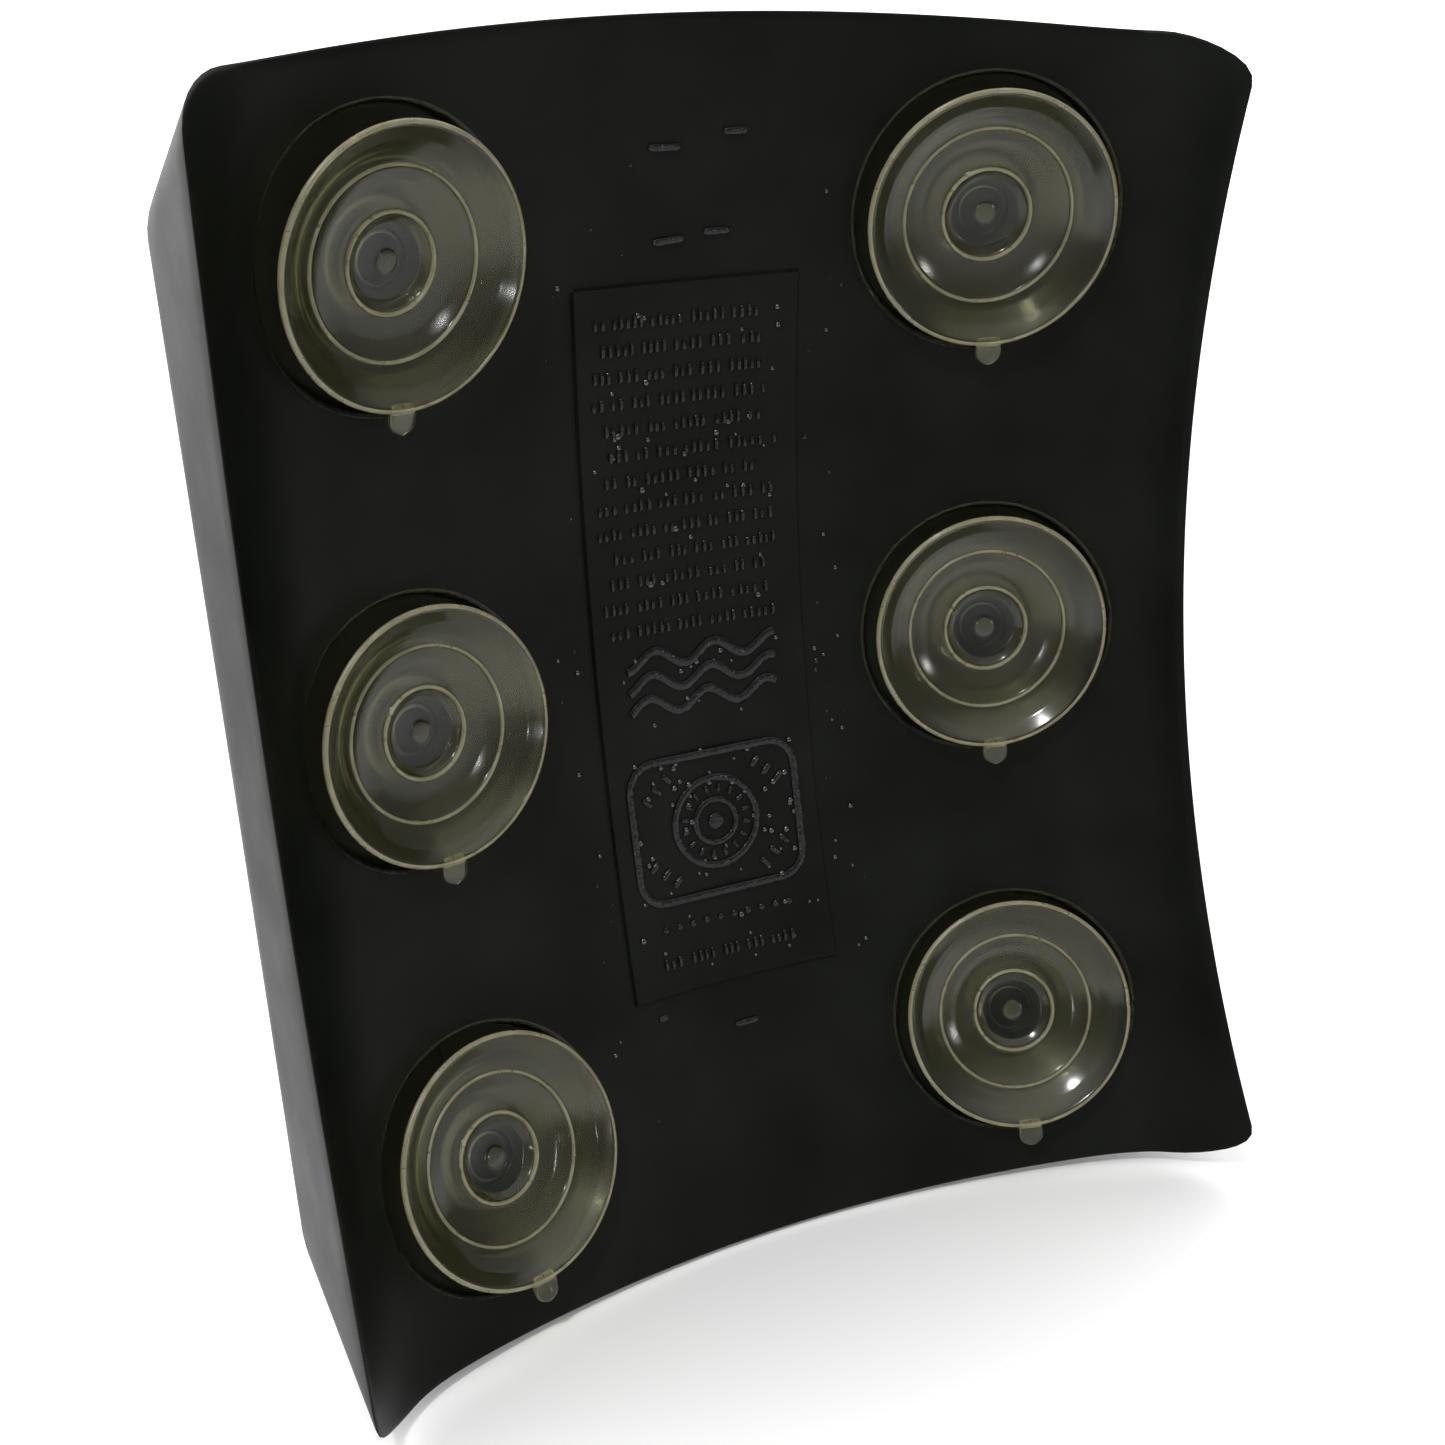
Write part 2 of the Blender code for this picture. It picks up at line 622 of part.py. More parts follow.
def make_dial():
    base_y = FRONT_Y + 2 * MM
    knob = turned(
        "dial_knob",
        [
            (0, KNOB_HEIGHT),
            (KNOB_RADIUS * 0.8, KNOB_HEIGHT),
            (KNOB_RADIUS * 0.88, KNOB_HEIGHT - 1 * MM),
            (KNOB_RADIUS, 1 * MM),
            (KNOB_RADIUS, 0),
            (0, 0),
        ],
        steps=36,
    )
    knob.data.materials.append(GREY_PLASTIC)
    knob.location = (DIAL_X, base_y, DIAL_Z)
    knob.rotation_euler = (math.radians(-90), 0, 0)
    pointer = box(
        "pointer", (DIAL_X - 1 * MM, base_y + KNOB_HEIGHT - 0.8 * MM, DIAL_Z + 2 * MM),
        (DIAL_X + 1 * MM, base_y + KNOB_HEIGHT + 1 * MM, DIAL_Z + 8.5 * MM), collection=CUTTERS,
    )
    boolean(knob, pointer, "UNION")
    shaft_hole = cylinder(
        "knob_hole", SHAFT_RADIUS + GAP,
        (DIAL_X, base_y - 1 * MM, DIAL_Z), (DIAL_X, base_y + 5 * MM, DIAL_Z),
        collection=CUTTERS,
    )
    boolean(knob, shaft_hole, "DIFFERENCE")
    shaft_end = BOARD_Y + BOARD_THICKNESS + 3 * MM
    cylinder(
        "dial_shaft", SHAFT_RADIUS,
        (DIAL_X, shaft_end, DIAL_Z), (DIAL_X, base_y + 4.5 * MM, DIAL_Z),
        STEEL,
    )
    bpy.ops.mesh.primitive_torus_add(
        major_radius=SHAFT_RADIUS + 1.6 * MM, minor_radius=0.7 * MM, major_segments=24, minor_segments=8,
        location=(DIAL_X, FRONT_Y + 1.1 * MM, DIAL_Z), rotation=(math.radians(90), 0, 0),
    )
    seal = bpy.context.object
    seal.name = seal.data.name = "dial_seal"
    seal.data.materials.append(BLACK_RUBBER)
    for collection in seal.users_collection:
        collection.objects.unlink(seal)
    PARTS.objects.link(seal)
    pot_back = BOARD_Y + BOARD_THICKNESS + GAP
    pot = cylinder(
        "potentiometer", 8 * MM,
        (DIAL_X, pot_back, DIAL_Z), (DIAL_X, pot_back + 7 * MM, DIAL_Z),
        GREY_PLASTIC,
    )
    pot_bore = cylinder(
        "pot_bore", SHAFT_RADIUS + GAP,
        (DIAL_X, shaft_end - 0.5 * MM, DIAL_Z), (DIAL_X, pot_back + 9 * MM, DIAL_Z),
        collection=CUTTERS,
    )
    boolean(pot, pot_bore, "DIFFERENCE")


def make_indicator():
    lens = turned(
        "indicator_lens",
        [
            (0, 1.4 * MM),
            (2.4 * MM, 1.1 * MM),
            (4.2 * MM, 0.3 * MM),
            (4.2 * MM, GAP),
            (LAMP_RADIUS, GAP),
            (LAMP_RADIUS, -COVER_THICKNESS),
            (0, -COVER_THICKNESS),
        ],
        steps=20,
    )
    lens.data.materials.append(RED_LENS)
    lens.location = (LAMP_X, FRONT_Y, LAMP_Z)
    lens.rotation_euler = (math.radians(-90), 0, 0)
    led = turned(
        "indicator_led",
        [
            (0, 7 * MM),
            (1.6 * MM, 6.3 * MM),
            (2.4 * MM, 4.6 * MM),
            (2.4 * MM, 1 * MM),
            (2.9 * MM, 1 * MM),
            (2.9 * MM, 0),
            (0, 0),
        ],
        steps=16,
    )
    led.data.materials.append(RED_LENS)
    led.location = (LAMP_X - 3 * MM, BOARD_Y + BOARD_THICKNESS + GAP, LAMP_Z)
    led.rotation_euler = (math.radians(-90), 0, 0)


# ---- heater --------------------------------------------------------------------------------------


def make_spreader():
    back = LEDGE_Y + 0.1 * MM
    front = back + SPREADER_THICKNESS
    half_width = CAVITY_HALF_WIDTH - SPREADER_MARGIN
    size = (half_width, ELEMENT_TOP + 6 * MM, CAVITY_BOTTOM - SPREADER_MARGIN, CAVITY_RADIUS)
    rings = [flat_loop(*size, back), flat_loop(*size, front)]
    spreader = add_object("heat_spreader", skin("heat_spreader", rings), ALUMINIUM)
    well = cylinder(
        "sensor_well", 2.6 * MM, (-30 * MM, back - 1 * MM, ELEMENT_TOP + 2 * MM),
        (-30 * MM, front + 1 * MM, ELEMENT_TOP + 2 * MM), collection=CUTTERS,
    )
    boolean(spreader, well, "DIFFERENCE")
    return back


def make_element(spreader_back):
    """Serpentine tube: straight upright runs joined by half circles."""
    y = spreader_back - GAP - ELEMENT_RADIUS
    bend = ELEMENT_PITCH / 2
    upper = ELEMENT_TOP - bend - ELEMENT_RADIUS
    lower = ELEMENT_BOTTOM + bend + ELEMENT_RADIUS
    first_x = -ELEMENT_PITCH * (ELEMENT_RUNS - 1) / 2
    points = [(first_x, ELEMENT_TOP + 4 * MM)]
    for run in range(ELEMENT_RUNS):
        x = first_x + run * ELEMENT_PITCH
        going_down = run % 2 == 0
        if run:
            points.append((x, lower if not going_down else upper))
        turn_z = lower if going_down else upper
        if run == ELEMENT_RUNS - 1:
            break
        points.append((x, turn_z))
        side = -1 if going_down else 1
        for step in range(1, 6):
            angle = math.pi * step / 6
            points.append((x + bend - bend * math.cos(angle), turn_z + side * bend * math.sin(angle)))
    points.append((points[-1][0], ELEMENT_TOP + 4 * MM))
    curve = bpy.data.curves.new("heating_element", "CURVE")
    curve.dimensions = "3D"
    curve.bevel_depth = ELEMENT_RADIUS
    curve.bevel_resolution = 1
    curve.use_fill_caps = True
    spline = curve.splines.new("POLY")
    spline.points.add(len(points) - 1)
    for target, (x, z) in zip(spline.points, points):
        target.co = (x, y, z, 1)
    element = bpy.data.objects.new("heating_element", curve)
    PARTS.objects.link(element)
    curve.materials.append(STEEL)
    clamp_front = y - ELEMENT_RADIUS - GAP
    for name, z in (("upper", 4 * MM), ("lower", -42 * MM)):
        box(
            f"element_clamp_{name}", (-50 * MM, clamp_front - CLAMP_THICKNESS, z - 4 * MM),
            (50 * MM, clamp_front, z + 4 * MM), ALUMINIUM, bevel=0.3 * MM,
        )
    sheet_front = clamp_front - CLAMP_THICKNESS - GAP
    box(
        "insulation_sheet", (-54 * MM, sheet_front - INSULATION_THICKNESS, -CAVITY_BOTTOM + 5 * MM),
        (54 * MM, sheet_front, ELEMENT_TOP + 3 * MM), WHITE_FELT,
    )


# ---- electronics ---------------------------------------------------------------------------------


def make_electronics():
    front = BOARD_Y + BOARD_THICKNESS
    board = box(
        "control_board",
        (-BOARD_HALF_WIDTH, BOARD_Y, BOARD_BOTTOM), (BOARD_HALF_WIDTH, front, BOARD_TOP),
        GREEN_BOARD,
    )
    for i, (x, z) in enumerate(board_posts()[:2]):
        hole = cylinder(
            f"board_hole_{i}", BOARD_SCREW_RADIUS + 0.4 * MM,
            (x, BOARD_Y - MM, z), (x, front + MM, z),
            collection=CUTTERS, sides=10,
        )
        boolean(board, hole, "DIFFERENCE")
    seat = front + GAP
    box(
        "relay",
        (-34 * MM, seat, 42 * MM), (-15 * MM, seat + 10 * MM, 57 * MM),
        GREY_PLASTIC, bevel=0.6 * MM,
    )
    terminal_low = Vector((14 * MM, seat, 37 * MM))
    terminal_size = Vector((16 * MM, 9 * MM, 9 * MM))
    terminal = box("terminal_block", terminal_low, terminal_low + terminal_size, GREY_PLASTIC)
    for i in range(3):
        x = terminal_low.x + 3 * MM + i * 5 * MM
        z = terminal_low.z + terminal_size.z / 2
        hole = cylinder(
            f"terminal_screw_{i}", 1.4 * MM,
            (x, seat + 5 * MM, z), (x, seat + 10 * MM, z),
            collection=CUTTERS, sides=10,
        )
        boolean(terminal, hole, "DIFFERENCE")
    fuse_y = seat + FUSE_RADIUS + 0.1 * MM
    cylinder(
        "thermal_fuse", FUSE_RADIUS,
        (-10 * MM, fuse_y, 37 * MM), (4 * MM, fuse_y, 37 * MM),
        BRASS, sides=14,
    )
    sensor = turned(
        "temperature_sensor",
        [(0, 1.4 * MM), (1.6 * MM, 0.9 * MM), (2.2 * MM, 0), (2.2 * MM, -3 * MM), (0, -3 * MM)],
        steps=14,
    )
    sensor.data.materials.append(STEEL)
    sensor.location = (-30 * MM, LEDGE_Y, ELEMENT_TOP + 2 * MM)
    sensor.rotation_euler = (math.radians(-90), 0, 0)


# ---- cord gland ----------------------------------------------------------------------------------


def make_gland():
    """Threaded tube through the top wall, with a hexagon and a dome nut outside and a locknut inside."""
    inside_z = CAVITY_TOP - 4.5 * MM
    hexagon_top = GLAND_SEAT_Z + 3 * MM
    thread_top = GLAND_SEAT_Z + 7 * MM
    body = upright("gland_body", GLAND_RADIUS, inside_z, thread_top, GREY_PLASTIC)
    boolean(body, upright("gland_flange", 8.5 * MM, GLAND_SEAT_Z + GAP, hexagon_top, sides=6), "UNION")
    boolean(body, upright("gland_body_bore", 3.6 * MM, inside_z - MM, thread_top + MM), "DIFFERENCE")
    nut_low = hexagon_top + GAP
    nut_top = nut_low + 8 * MM
    nut = upright("gland_nut", 7.6 * MM, nut_low, nut_top, GREY_PLASTIC, sides=12)
    nut_bore = upright("gland_nut_bore", GLAND_RADIUS + GAP, nut_low - MM, nut_low + 4.5 * MM)
    boolean(nut, nut_bore, "DIFFERENCE")
    boolean(nut, upright("gland_nut_mouth", 3.4 * MM, nut_low, nut_top + MM), "DIFFERENCE")
    seal_low = GLAND_SEAT_Z - 4 * MM
    seal_top = thread_top - 0.5 * MM
    seal = upright("gland_seal", 3.3 * MM, seal_low, seal_top, BLACK_RUBBER, sides=16)
    seal_bore = upright("gland_seal_bore", 2.2 * MM, seal_low - MM, seal_top + MM, sides=16)
    boolean(seal, seal_bore, "DIFFERENCE")
    lock_top = CAVITY_TOP - GAP
    lock_low = lock_top - 3 * MM
    locknut = upright("gland_locknut", 8 * MM, lock_low, lock_top, GREY_PLASTIC, sides=6)
    lock_bore = upright("gland_lock_bore", GLAND_RADIUS + GAP, lock_low - MM, lock_top + MM)
    boolean(locknut, lock_bore, "DIFFERENCE")


def shade_round_pieces():
    for obj in PARTS.objects:
        if obj.type == "MESH":
            obj.data.shade_smooth()
            obj.data.set_sharp_from_angle(angle=math.radians(30))


make_housing()
make_cups()
make_cover()
make_gasket()
make_screws()
make_dial()
make_indicator()
make_element(make_spreader())
make_electronics()
make_gland()
shade_round_pieces()
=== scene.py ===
"""Looks of the flat aquarium heater: a dished black body, six clear suction cups, and the parts on its front.

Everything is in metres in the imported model's frame: X to the right and Z up as seen from the suction-cup
side, +Y from the cups through the body to the front cover.
"""

import json
import random
from math import copysign, cos, pi, radians, sin, sqrt

import bmesh
import bpy
import numpy as np
from mathutils import Matrix, Vector


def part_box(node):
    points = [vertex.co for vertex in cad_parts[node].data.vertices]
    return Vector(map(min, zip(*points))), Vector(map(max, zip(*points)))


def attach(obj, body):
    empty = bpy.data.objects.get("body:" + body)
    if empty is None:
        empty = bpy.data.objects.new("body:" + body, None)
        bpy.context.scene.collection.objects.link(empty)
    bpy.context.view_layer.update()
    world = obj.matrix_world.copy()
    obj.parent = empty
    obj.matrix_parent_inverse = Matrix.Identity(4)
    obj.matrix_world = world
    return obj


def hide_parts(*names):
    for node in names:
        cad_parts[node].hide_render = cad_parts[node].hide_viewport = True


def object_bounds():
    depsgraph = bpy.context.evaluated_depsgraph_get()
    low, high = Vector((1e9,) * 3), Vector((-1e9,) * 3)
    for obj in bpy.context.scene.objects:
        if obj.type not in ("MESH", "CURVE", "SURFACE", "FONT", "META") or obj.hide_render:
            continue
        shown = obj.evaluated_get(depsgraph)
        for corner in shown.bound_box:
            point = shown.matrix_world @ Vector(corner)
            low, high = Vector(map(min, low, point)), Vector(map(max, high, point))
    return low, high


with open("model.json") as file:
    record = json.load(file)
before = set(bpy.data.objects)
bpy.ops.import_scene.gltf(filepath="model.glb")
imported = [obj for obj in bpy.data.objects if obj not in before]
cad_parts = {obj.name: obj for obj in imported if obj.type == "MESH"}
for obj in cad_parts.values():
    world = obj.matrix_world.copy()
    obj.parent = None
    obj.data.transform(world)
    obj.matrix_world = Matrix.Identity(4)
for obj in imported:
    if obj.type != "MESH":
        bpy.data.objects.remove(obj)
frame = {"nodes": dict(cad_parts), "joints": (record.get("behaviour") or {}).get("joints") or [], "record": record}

MM = 0.001
cad_low, cad_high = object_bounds()

# Dished back, as in the design: y = -(x^2 / 2Rx + z^2 / 2Rz) - curl * (x / half_width)^power
DISH_RADIUS_X = 170 * MM
DISH_RADIUS_Z = 345 * MM
EDGE_CURL = 16 * MM
CURL_POWER = 16

# Outline of the back and of the loops that the side wall runs through
HALF_WIDTH = 88 * MM
TOP = 103.8 * MM
BOTTOM = 107.8 * MM
TOP_CROWN = 9.1 * MM
BOTTOM_CROWN = 2.8 * MM
WAIST = 1.6 * MM
CORNER_RADIUS = 9 * MM
OUTLINE = (HALF_WIDTH, TOP, BOTTOM, CORNER_RADIUS)
SHOULDER_Y = -10 * MM
SHOULDER_BULGE = 24 * MM
SHOULDER_HALF_WIDTH = 89 * MM
SHOULDER_TOP = 91.5 * MM
SHOULDER_BOTTOM = 93 * MM
SHOULDER_LOOP = (SHOULDER_HALF_WIDTH, SHOULDER_TOP, SHOULDER_BOTTOM, CORNER_RADIUS)
FRONT_Y = 26 * MM
FRONT_LOOP = (75 * MM, 91 * MM, 86 * MM, 9 * MM)
COVER_LOOP = (71 * MM, 87 * MM, 82 * MM, 9 * MM)
COVER_THICKNESS = 3 * MM
LEDGE_Y = FRONT_Y - 4.8 * MM
CAVITY_LOOP = (60.5 * MM, 76.5 * MM, 71.5 * MM, 6 * MM)
CAVITY_RINGS = 30
FLOOR_THICKNESS = 3.5 * MM

# Edge roundings
BACK_EDGE = 1.8 * MM
INNER_OUTLINE = tuple(size - BACK_EDGE for size in OUTLINE)
SHOULDER_ROUND = 5 * MM
FRONT_EDGE = 2 * MM

# Suction cups and their recesses
CUP_RADIUS = 22.5 * MM
CUP_RIM_HEIGHT = 9.2 * MM
RECESS_RADIUS = 23.6 * MM
RECESS_FILLET = 1.2 * MM
RECESS_LIP = 0.9 * MM
SOCKET_MOUTH = 4.5 * MM
SOCKET_RADIUS = 6.7 * MM
SOCKET_LIP = 2.2 * MM
SOCKET_DEPTH = 7 * MM
BOSS_RADIUS = 12 * MM
BOSS_SLOPE = 3 * MM

# Seat of the cord gland on the top
GLAND_SEAT_Z = 99 * MM
GLAND_SEAT_RADIUS = 11 * MM
GLAND_BORE_RADIUS = 5.3 * MM

# Label panel on the back
LABEL_HALF_WIDTH = 21.6 * MM
LABEL_TOP = 69 * MM
LABEL_BOTTOM = -61 * MM
LABEL_HEIGHT = 0.8 * MM

# The back is divided into six cells, one for each cup, and a middle column
COLUMN_HALF_WIDTH = 25 * MM
ROW_EDGE = 39 * MM


# ---- materials ----


def map_range(tree, value, start, end, low, high):
    """Node that maps start..end to low..high, with its ends held."""
    made = tree.nodes.new("ShaderNodeMapRange")
    for name, number in zip(("From Min", "From Max", "To Min", "To Max"), (start, end, low, high)):
        made.inputs[name].default_value = number
    tree.links.new(value, made.inputs["Value"])
    return made


class Shader:
    """A material's node tree, with short calls for the nodes that the pieces use."""

    def __init__(self, name, color, roughness, metallic=0.0, specular=0.5):
        self.material = bpy.data.materials.new(name)
        self.material.use_nodes = True
        self.tree = self.material.node_tree
        self.surface = self.tree.nodes["Principled BSDF"]
        self.set("Base Color", (*color, 1.0))
        self.set("Roughness", roughness)
        self.set("Metallic", metallic)
        self.set("Specular IOR Level", specular)
        self.place = self.tree.nodes.new("ShaderNodeTexCoord").outputs["Object"]

    def set(self, socket, value):
        self.surface.inputs[socket].default_value = value

    def link(self, output, target):
        self.tree.links.new(output, target)

    def node(self, kind, **inputs):
        """Node with its inputs set; an underscore in a name stands for a space."""
        made = self.tree.nodes.new(kind)
        for name, value in inputs.items():
            made.inputs[name.replace("_", " ")].default_value = value
        return made

    def noise(self, scale, detail=3.0, stretch=None):
        made = self.node("ShaderNodeTexNoise", Scale=scale, Detail=detail)
        place = self.place
        if stretch:
            mapping = self.node("ShaderNodeMapping", Scale=stretch)
            self.link(place, mapping.inputs["Vector"])
            place = mapping.outputs["Vector"]
        self.link(place, made.inputs["Vector"])
        return made.outputs["Fac"]

    def color_between(self, low, high, value):
        """Base colour that goes from low to high over the middle of the value's range."""
        made = self.tree.nodes.new("ShaderNodeValToRGB")
        for element, place, color in zip(made.color_ramp.elements, (0.3, 0.7), (low, high)):
            element.position = place
            element.color = (*color, 1.0)
        self.link(value, made.inputs["Fac"])
        self.link(made.outputs["Color"], self.surface.inputs["Base Color"])

    def roughness_between(self, low, high, value):
        made = map_range(self.tree, value, 0.0, 1.0, low, high)
        self.link(made.outputs["Result"], self.surface.inputs["Roughness"])

    def bump(self, value, depth, strength, under=None):
        made = self.node("ShaderNodeBump", Strength=strength, Distance=depth)
        self.link(value, made.inputs["Height"])
        if under:
            self.link(under, made.inputs["Normal"])
        self.link(made.outputs["Normal"], self.surface.inputs["Normal"])
        return made.outputs["Normal"]


def body_plastic():
    """Black satin plastic with a fine grain and faint, slightly greener blotches."""
    shader = Shader("moulded_black", (0.007, 0.008, 0.007), 0.42, specular=0.085)
    shader.color_between((0.0026, 0.0034, 0.0023), (0.0072, 0.0084, 0.0060), shader.noise(38, 4.0))
    shader.roughness_between(0.32, 0.50, shader.noise(70, 5.0))
    wavy = shader.bump(shader.noise(55, 2.0), 0.25 * MM, 0.35)
    shader.bump(shader.noise(1500, 2.0), 0.03 * MM, 0.35, under=wavy)
    return shader.material


def noisy_material(
    name, color, roughness, metallic=0.0, specular=0.5, tint=None, wear=None, bumps=None, **others
):
    """Material whose colour, roughness and surface vary by noise.

    tint is (noise, low, high) for the colour, wear is the same for the roughness, and bumps is (noise, depth,
    strength); each noise is (scale, detail). others are further sockets, with _ for a space.
    """
    shader = Shader(name, color, roughness, metallic, specular)
    for socket, value in others.items():
        shader.set(socket.replace("_", " "), value)
    if tint:
        shader.color_between(tint[1], tint[2], shader.noise(*tint[0]))
    if wear:
        shader.roughness_between(wear[1], wear[2], shader.noise(*wear[0]))
    if bumps:
        shader.bump(shader.noise(*bumps[0]), bumps[1], bumps[2])
    return shader.material


def clear_pvc(name, transmission):
    """Soft clear PVC, slightly yellow; the less it transmits, the hazier it is."""
    return noisy_material(
        name, (0.84, 0.84, 0.46), 0.14, specular=0.065, Transmission_Weight=transmission, IOR=1.45,
        tint=((60, 3), (0.80, 0.80, 0.40), (0.88, 0.88, 0.54)), wear=((200, 3), 0.10, 0.18),
    )


def grained_plastic(name, color):
    darker = tuple(0.75 * c for c in color)
    tint = ((90, 4), darker, color)
    return noisy_material(name, color, 0.5, specular=0.4, tint=tint, bumps=((1800, 2), 0.03 * MM, 0.4))


def brushed_metal(name, color, roughness, stretch):
    """Metal with fine lines along the axis that is stretched least."""
    shader = Shader(name, color, roughness, 1.0)
    lines = shader.noise(60, 4.0, stretch)
    shader.roughness_between(roughness - 0.08, roughness + 0.12, lines)
    shader.bump(lines, 0.02 * MM, 0.4)
    return shader.material


def felt():
    shader = Shader("fibre_felt", (0.75, 0.73, 0.68), 0.95, specular=0.1)
    fibres = shader.noise(900, 6.0, (1, 1, 0.2))
    shader.color_between((0.58, 0.56, 0.50), (0.80, 0.78, 0.72), fibres)
    shader.set("Sheen Weight", 0.4)
    shader.bump(fibres, 0.2 * MM, 0.7)
    return shader.material


def solder_mask():
    """Green board with paler straight tracks under the mask."""
    shader = Shader("board_green", (0.02, 0.16, 0.06), 0.35)
    tracks = shader.node(
        "ShaderNodeTexBrick", Scale=260, Mortar_Size=0.06, Color1=(0.012, 0.11, 0.04, 1),
        Color2=(0.014, 0.13, 0.05, 1), Mortar=(0.04, 0.26, 0.10, 1),
    )
    turned = shader.node("ShaderNodeMapping", Rotation=(radians(90), 0, 0))
    shader.link(shader.place, turned.inputs["Vector"])
    shader.link(turned.outputs["Vector"], tracks.inputs["Vector"])
    shader.link(tracks.outputs["Color"], shader.surface.inputs["Base Color"])
    shader.bump(tracks.outputs["Fac"], 0.03 * MM, 0.5)
    return shader.material


BLACK = body_plastic()
# The same black where the mould left it smooth and shiny: raised marks, specks and recess edges
RELIEF = noisy_material(
    "polished_black", (0.006, 0.0065, 0.006), 0.2, specular=0.3,
    tint=((90, 3), (0.004, 0.0045, 0.004), (0.008, 0.009, 0.008)),
    wear=((900, 3), 0.06, 0.36), bumps=((900, 2), 0.3 * MM, 0.8),
)
# Small beads that the mould left, which catch the light like drops
WET = noisy_material(
    "glossy_black", (0.005, 0.0055, 0.005), 0.16, specular=1.0, wear=((2500, 2), 0.08, 0.26),
)
PVC = clear_pvc("soft_clear_pvc", 0.992)
HAZY_PVC = clear_pvc("hazy_gate_mark", 0.96)
# The cups' rings and rim: a brighter, yellower and less clear copy of the PVC, which paints the highlight lines
# that the raised rings and the rim catch
RING_HIGHLIGHT_PVC = noisy_material(
    "pvc_painted_ring_highlight", (0.42, 0.39, 0.22), 0.3, Transmission_Weight=0.6, IOR=1.5,
    tint=((220, 3), (0.34, 0.31, 0.16), (0.55, 0.52, 0.31)), wear=((400, 3), 0.2, 0.4),
)
# The PVC over the solid stem: a darker copy, which paints the shade of the dark socket seen through the middle of
# the cup
STEM_SHADE_PVC = noisy_material(
    "pvc_painted_stem_shade", (0.24, 0.29, 0.20), 0.18, specular=0.015, Transmission_Weight=1.0, IOR=1.45,
    tint=((250, 3), (0.18, 0.22, 0.15), (0.30, 0.36, 0.25)),
)
BLACK_GRAINED = grained_plastic("grained_black", (0.007, 0.0075, 0.007))
GREY = grained_plastic("moulded_grey", (0.25, 0.26, 0.27))
RUBBER = noisy_material(
    "black_seal_rubber", (0.02, 0.02, 0.02), 0.8, specular=0.3,
    tint=((400, 3), (0.014, 0.014, 0.014), (0.03, 0.03, 0.029)), bumps=((2500, 3), 0.05 * MM, 0.5),
)
STEEL = brushed_metal("turned_steel", (0.62, 0.62, 0.61), 0.28, (1, 1, 12))
ALUMINIUM = brushed_metal("rolled_aluminium", (0.76, 0.77, 0.79), 0.36, (20, 1, 1))
LENS = noisy_material(
    "clear_red", (0.62, 0.03, 0.02), 0.08, Transmission_Weight=0.6, wear=((500, 3), 0.05, 0.14),
)
BRASS = noisy_material(
    "fuse_brass", (0.72, 0.52, 0.22), 0.3, 1.0, tint=((500, 3), (0.60, 0.42, 0.16), (0.78, 0.58, 0.27)),
)

BY_SLOT = {
    "black_body": BLACK,
    "clear_pvc": PVC,
    "black_rubber": RUBBER,
    "stainless_steel": STEEL,
    "aluminium_plate": ALUMINIUM,
    "insulation": felt(),
    "circuit_board": solder_mask(),
    "grey_plastic": GREY,
    "red_lens": LENS,
    "brass": BRASS,
}


def dress_cad_nodes():
    """Every CAD node that stays in view takes the material of its slot."""
    for entry in frame["record"]["subparts"]:
        mesh = frame["nodes"][entry["node"]].data
        mesh.materials.clear()
        mesh.materials.append(BY_SLOT[entry["material_slot"]])


# ---- mesh helpers ----


def smooth(mesh, sharp_angle):
    """Smooth shading, apart from edges that bend more than the angle in degrees."""
    mesh.shade_smooth()
    mesh.set_sharp_from_angle(angle=radians(sharp_angle))


def add_object(name, data):
    obj = bpy.data.objects.new(name, data)
    bpy.context.scene.collection.objects.link(obj)
    return obj


def closed_mesh(name, bm):
    """The bmesh as a mesh, with its faces turned outwards."""
    bmesh.ops.recalc_face_normals(bm, faces=bm.faces[:])
    mesh = bpy.data.meshes.new(name)
    bm.to_mesh(mesh)
    bm.free()
    return mesh


def finish_object(name, bm, material, sharp_angle, body="housing"):
    """Makes the bmesh an object that rides on a body."""
    mesh = closed_mesh(name, bm)
    mesh.materials.append(material)
    smooth(mesh, sharp_angle)
    obj = add_object(name, mesh)
    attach(obj, body)
    return obj


def solid_from(name, build):
    """Helper object from what build adds to a new bmesh, to cut with or to copy; it is removed after use."""
    bm = bmesh.new()
    build(bm)
    return add_object(name, closed_mesh(name, bm))


def add_rings(bm, rings, close_start=None, close_end=None):
    """Quads between closed rings of points; an end is left open, or fanned to the point given."""
    loops = [[bm.verts.new(point) for point in ring] for ring in rings]
    count = len(loops[0])
    for first, second in zip(loops, loops[1:]):
        for i in range(count):
            j = (i + 1) % count
            bm.faces.new((first[i], first[j], second[j], second[i]))
    for loop, tip in ((loops[0], close_start), (loops[-1], close_end)):
        if tip is not None:
            centre = bm.verts.new(tip)
            for i in range(count):
                bm.faces.new((loop[i], loop[(i + 1) % count], centre))
    return loops


def merge(bm):
    """Joins points that lie in the same place."""
    bmesh.ops.remove_doubles(bm, verts=bm.verts[:], dist=1e-6)
    bmesh.ops.dissolve_degenerate(bm, edges=bm.edges[:], dist=1e-6)


def in_mm(points):
    return [(r * MM, h * MM) for r, h in points]


def turns(steps):
    """Evenly spaced angles of one full turn."""
    return [2 * pi * k / steps for k in range(steps)]


def revolve(bm, profile, steps, matrix=Matrix()):
    """Closed solid turned about local Z from (radius, height) points that start and end on the axis."""
    rings = [[(r * cos(a), r * sin(a), h) for a in turns(steps)] for r, h in profile[1:-1]]
    rings = [[matrix @ Vector(point) for point in ring] for ring in rings]
    ends = [matrix @ Vector((0, 0, height)) for _, height in (profile[0], profile[-1])]
    add_rings(bm, rings, *ends)


def bend(first, corner, last, t):
    """Quadratic curve from first to last that turns towards the corner, at t from 0 to 1."""
    return first * (1 - t) ** 2 + corner * (2 * t * (1 - t)) + last * t * t


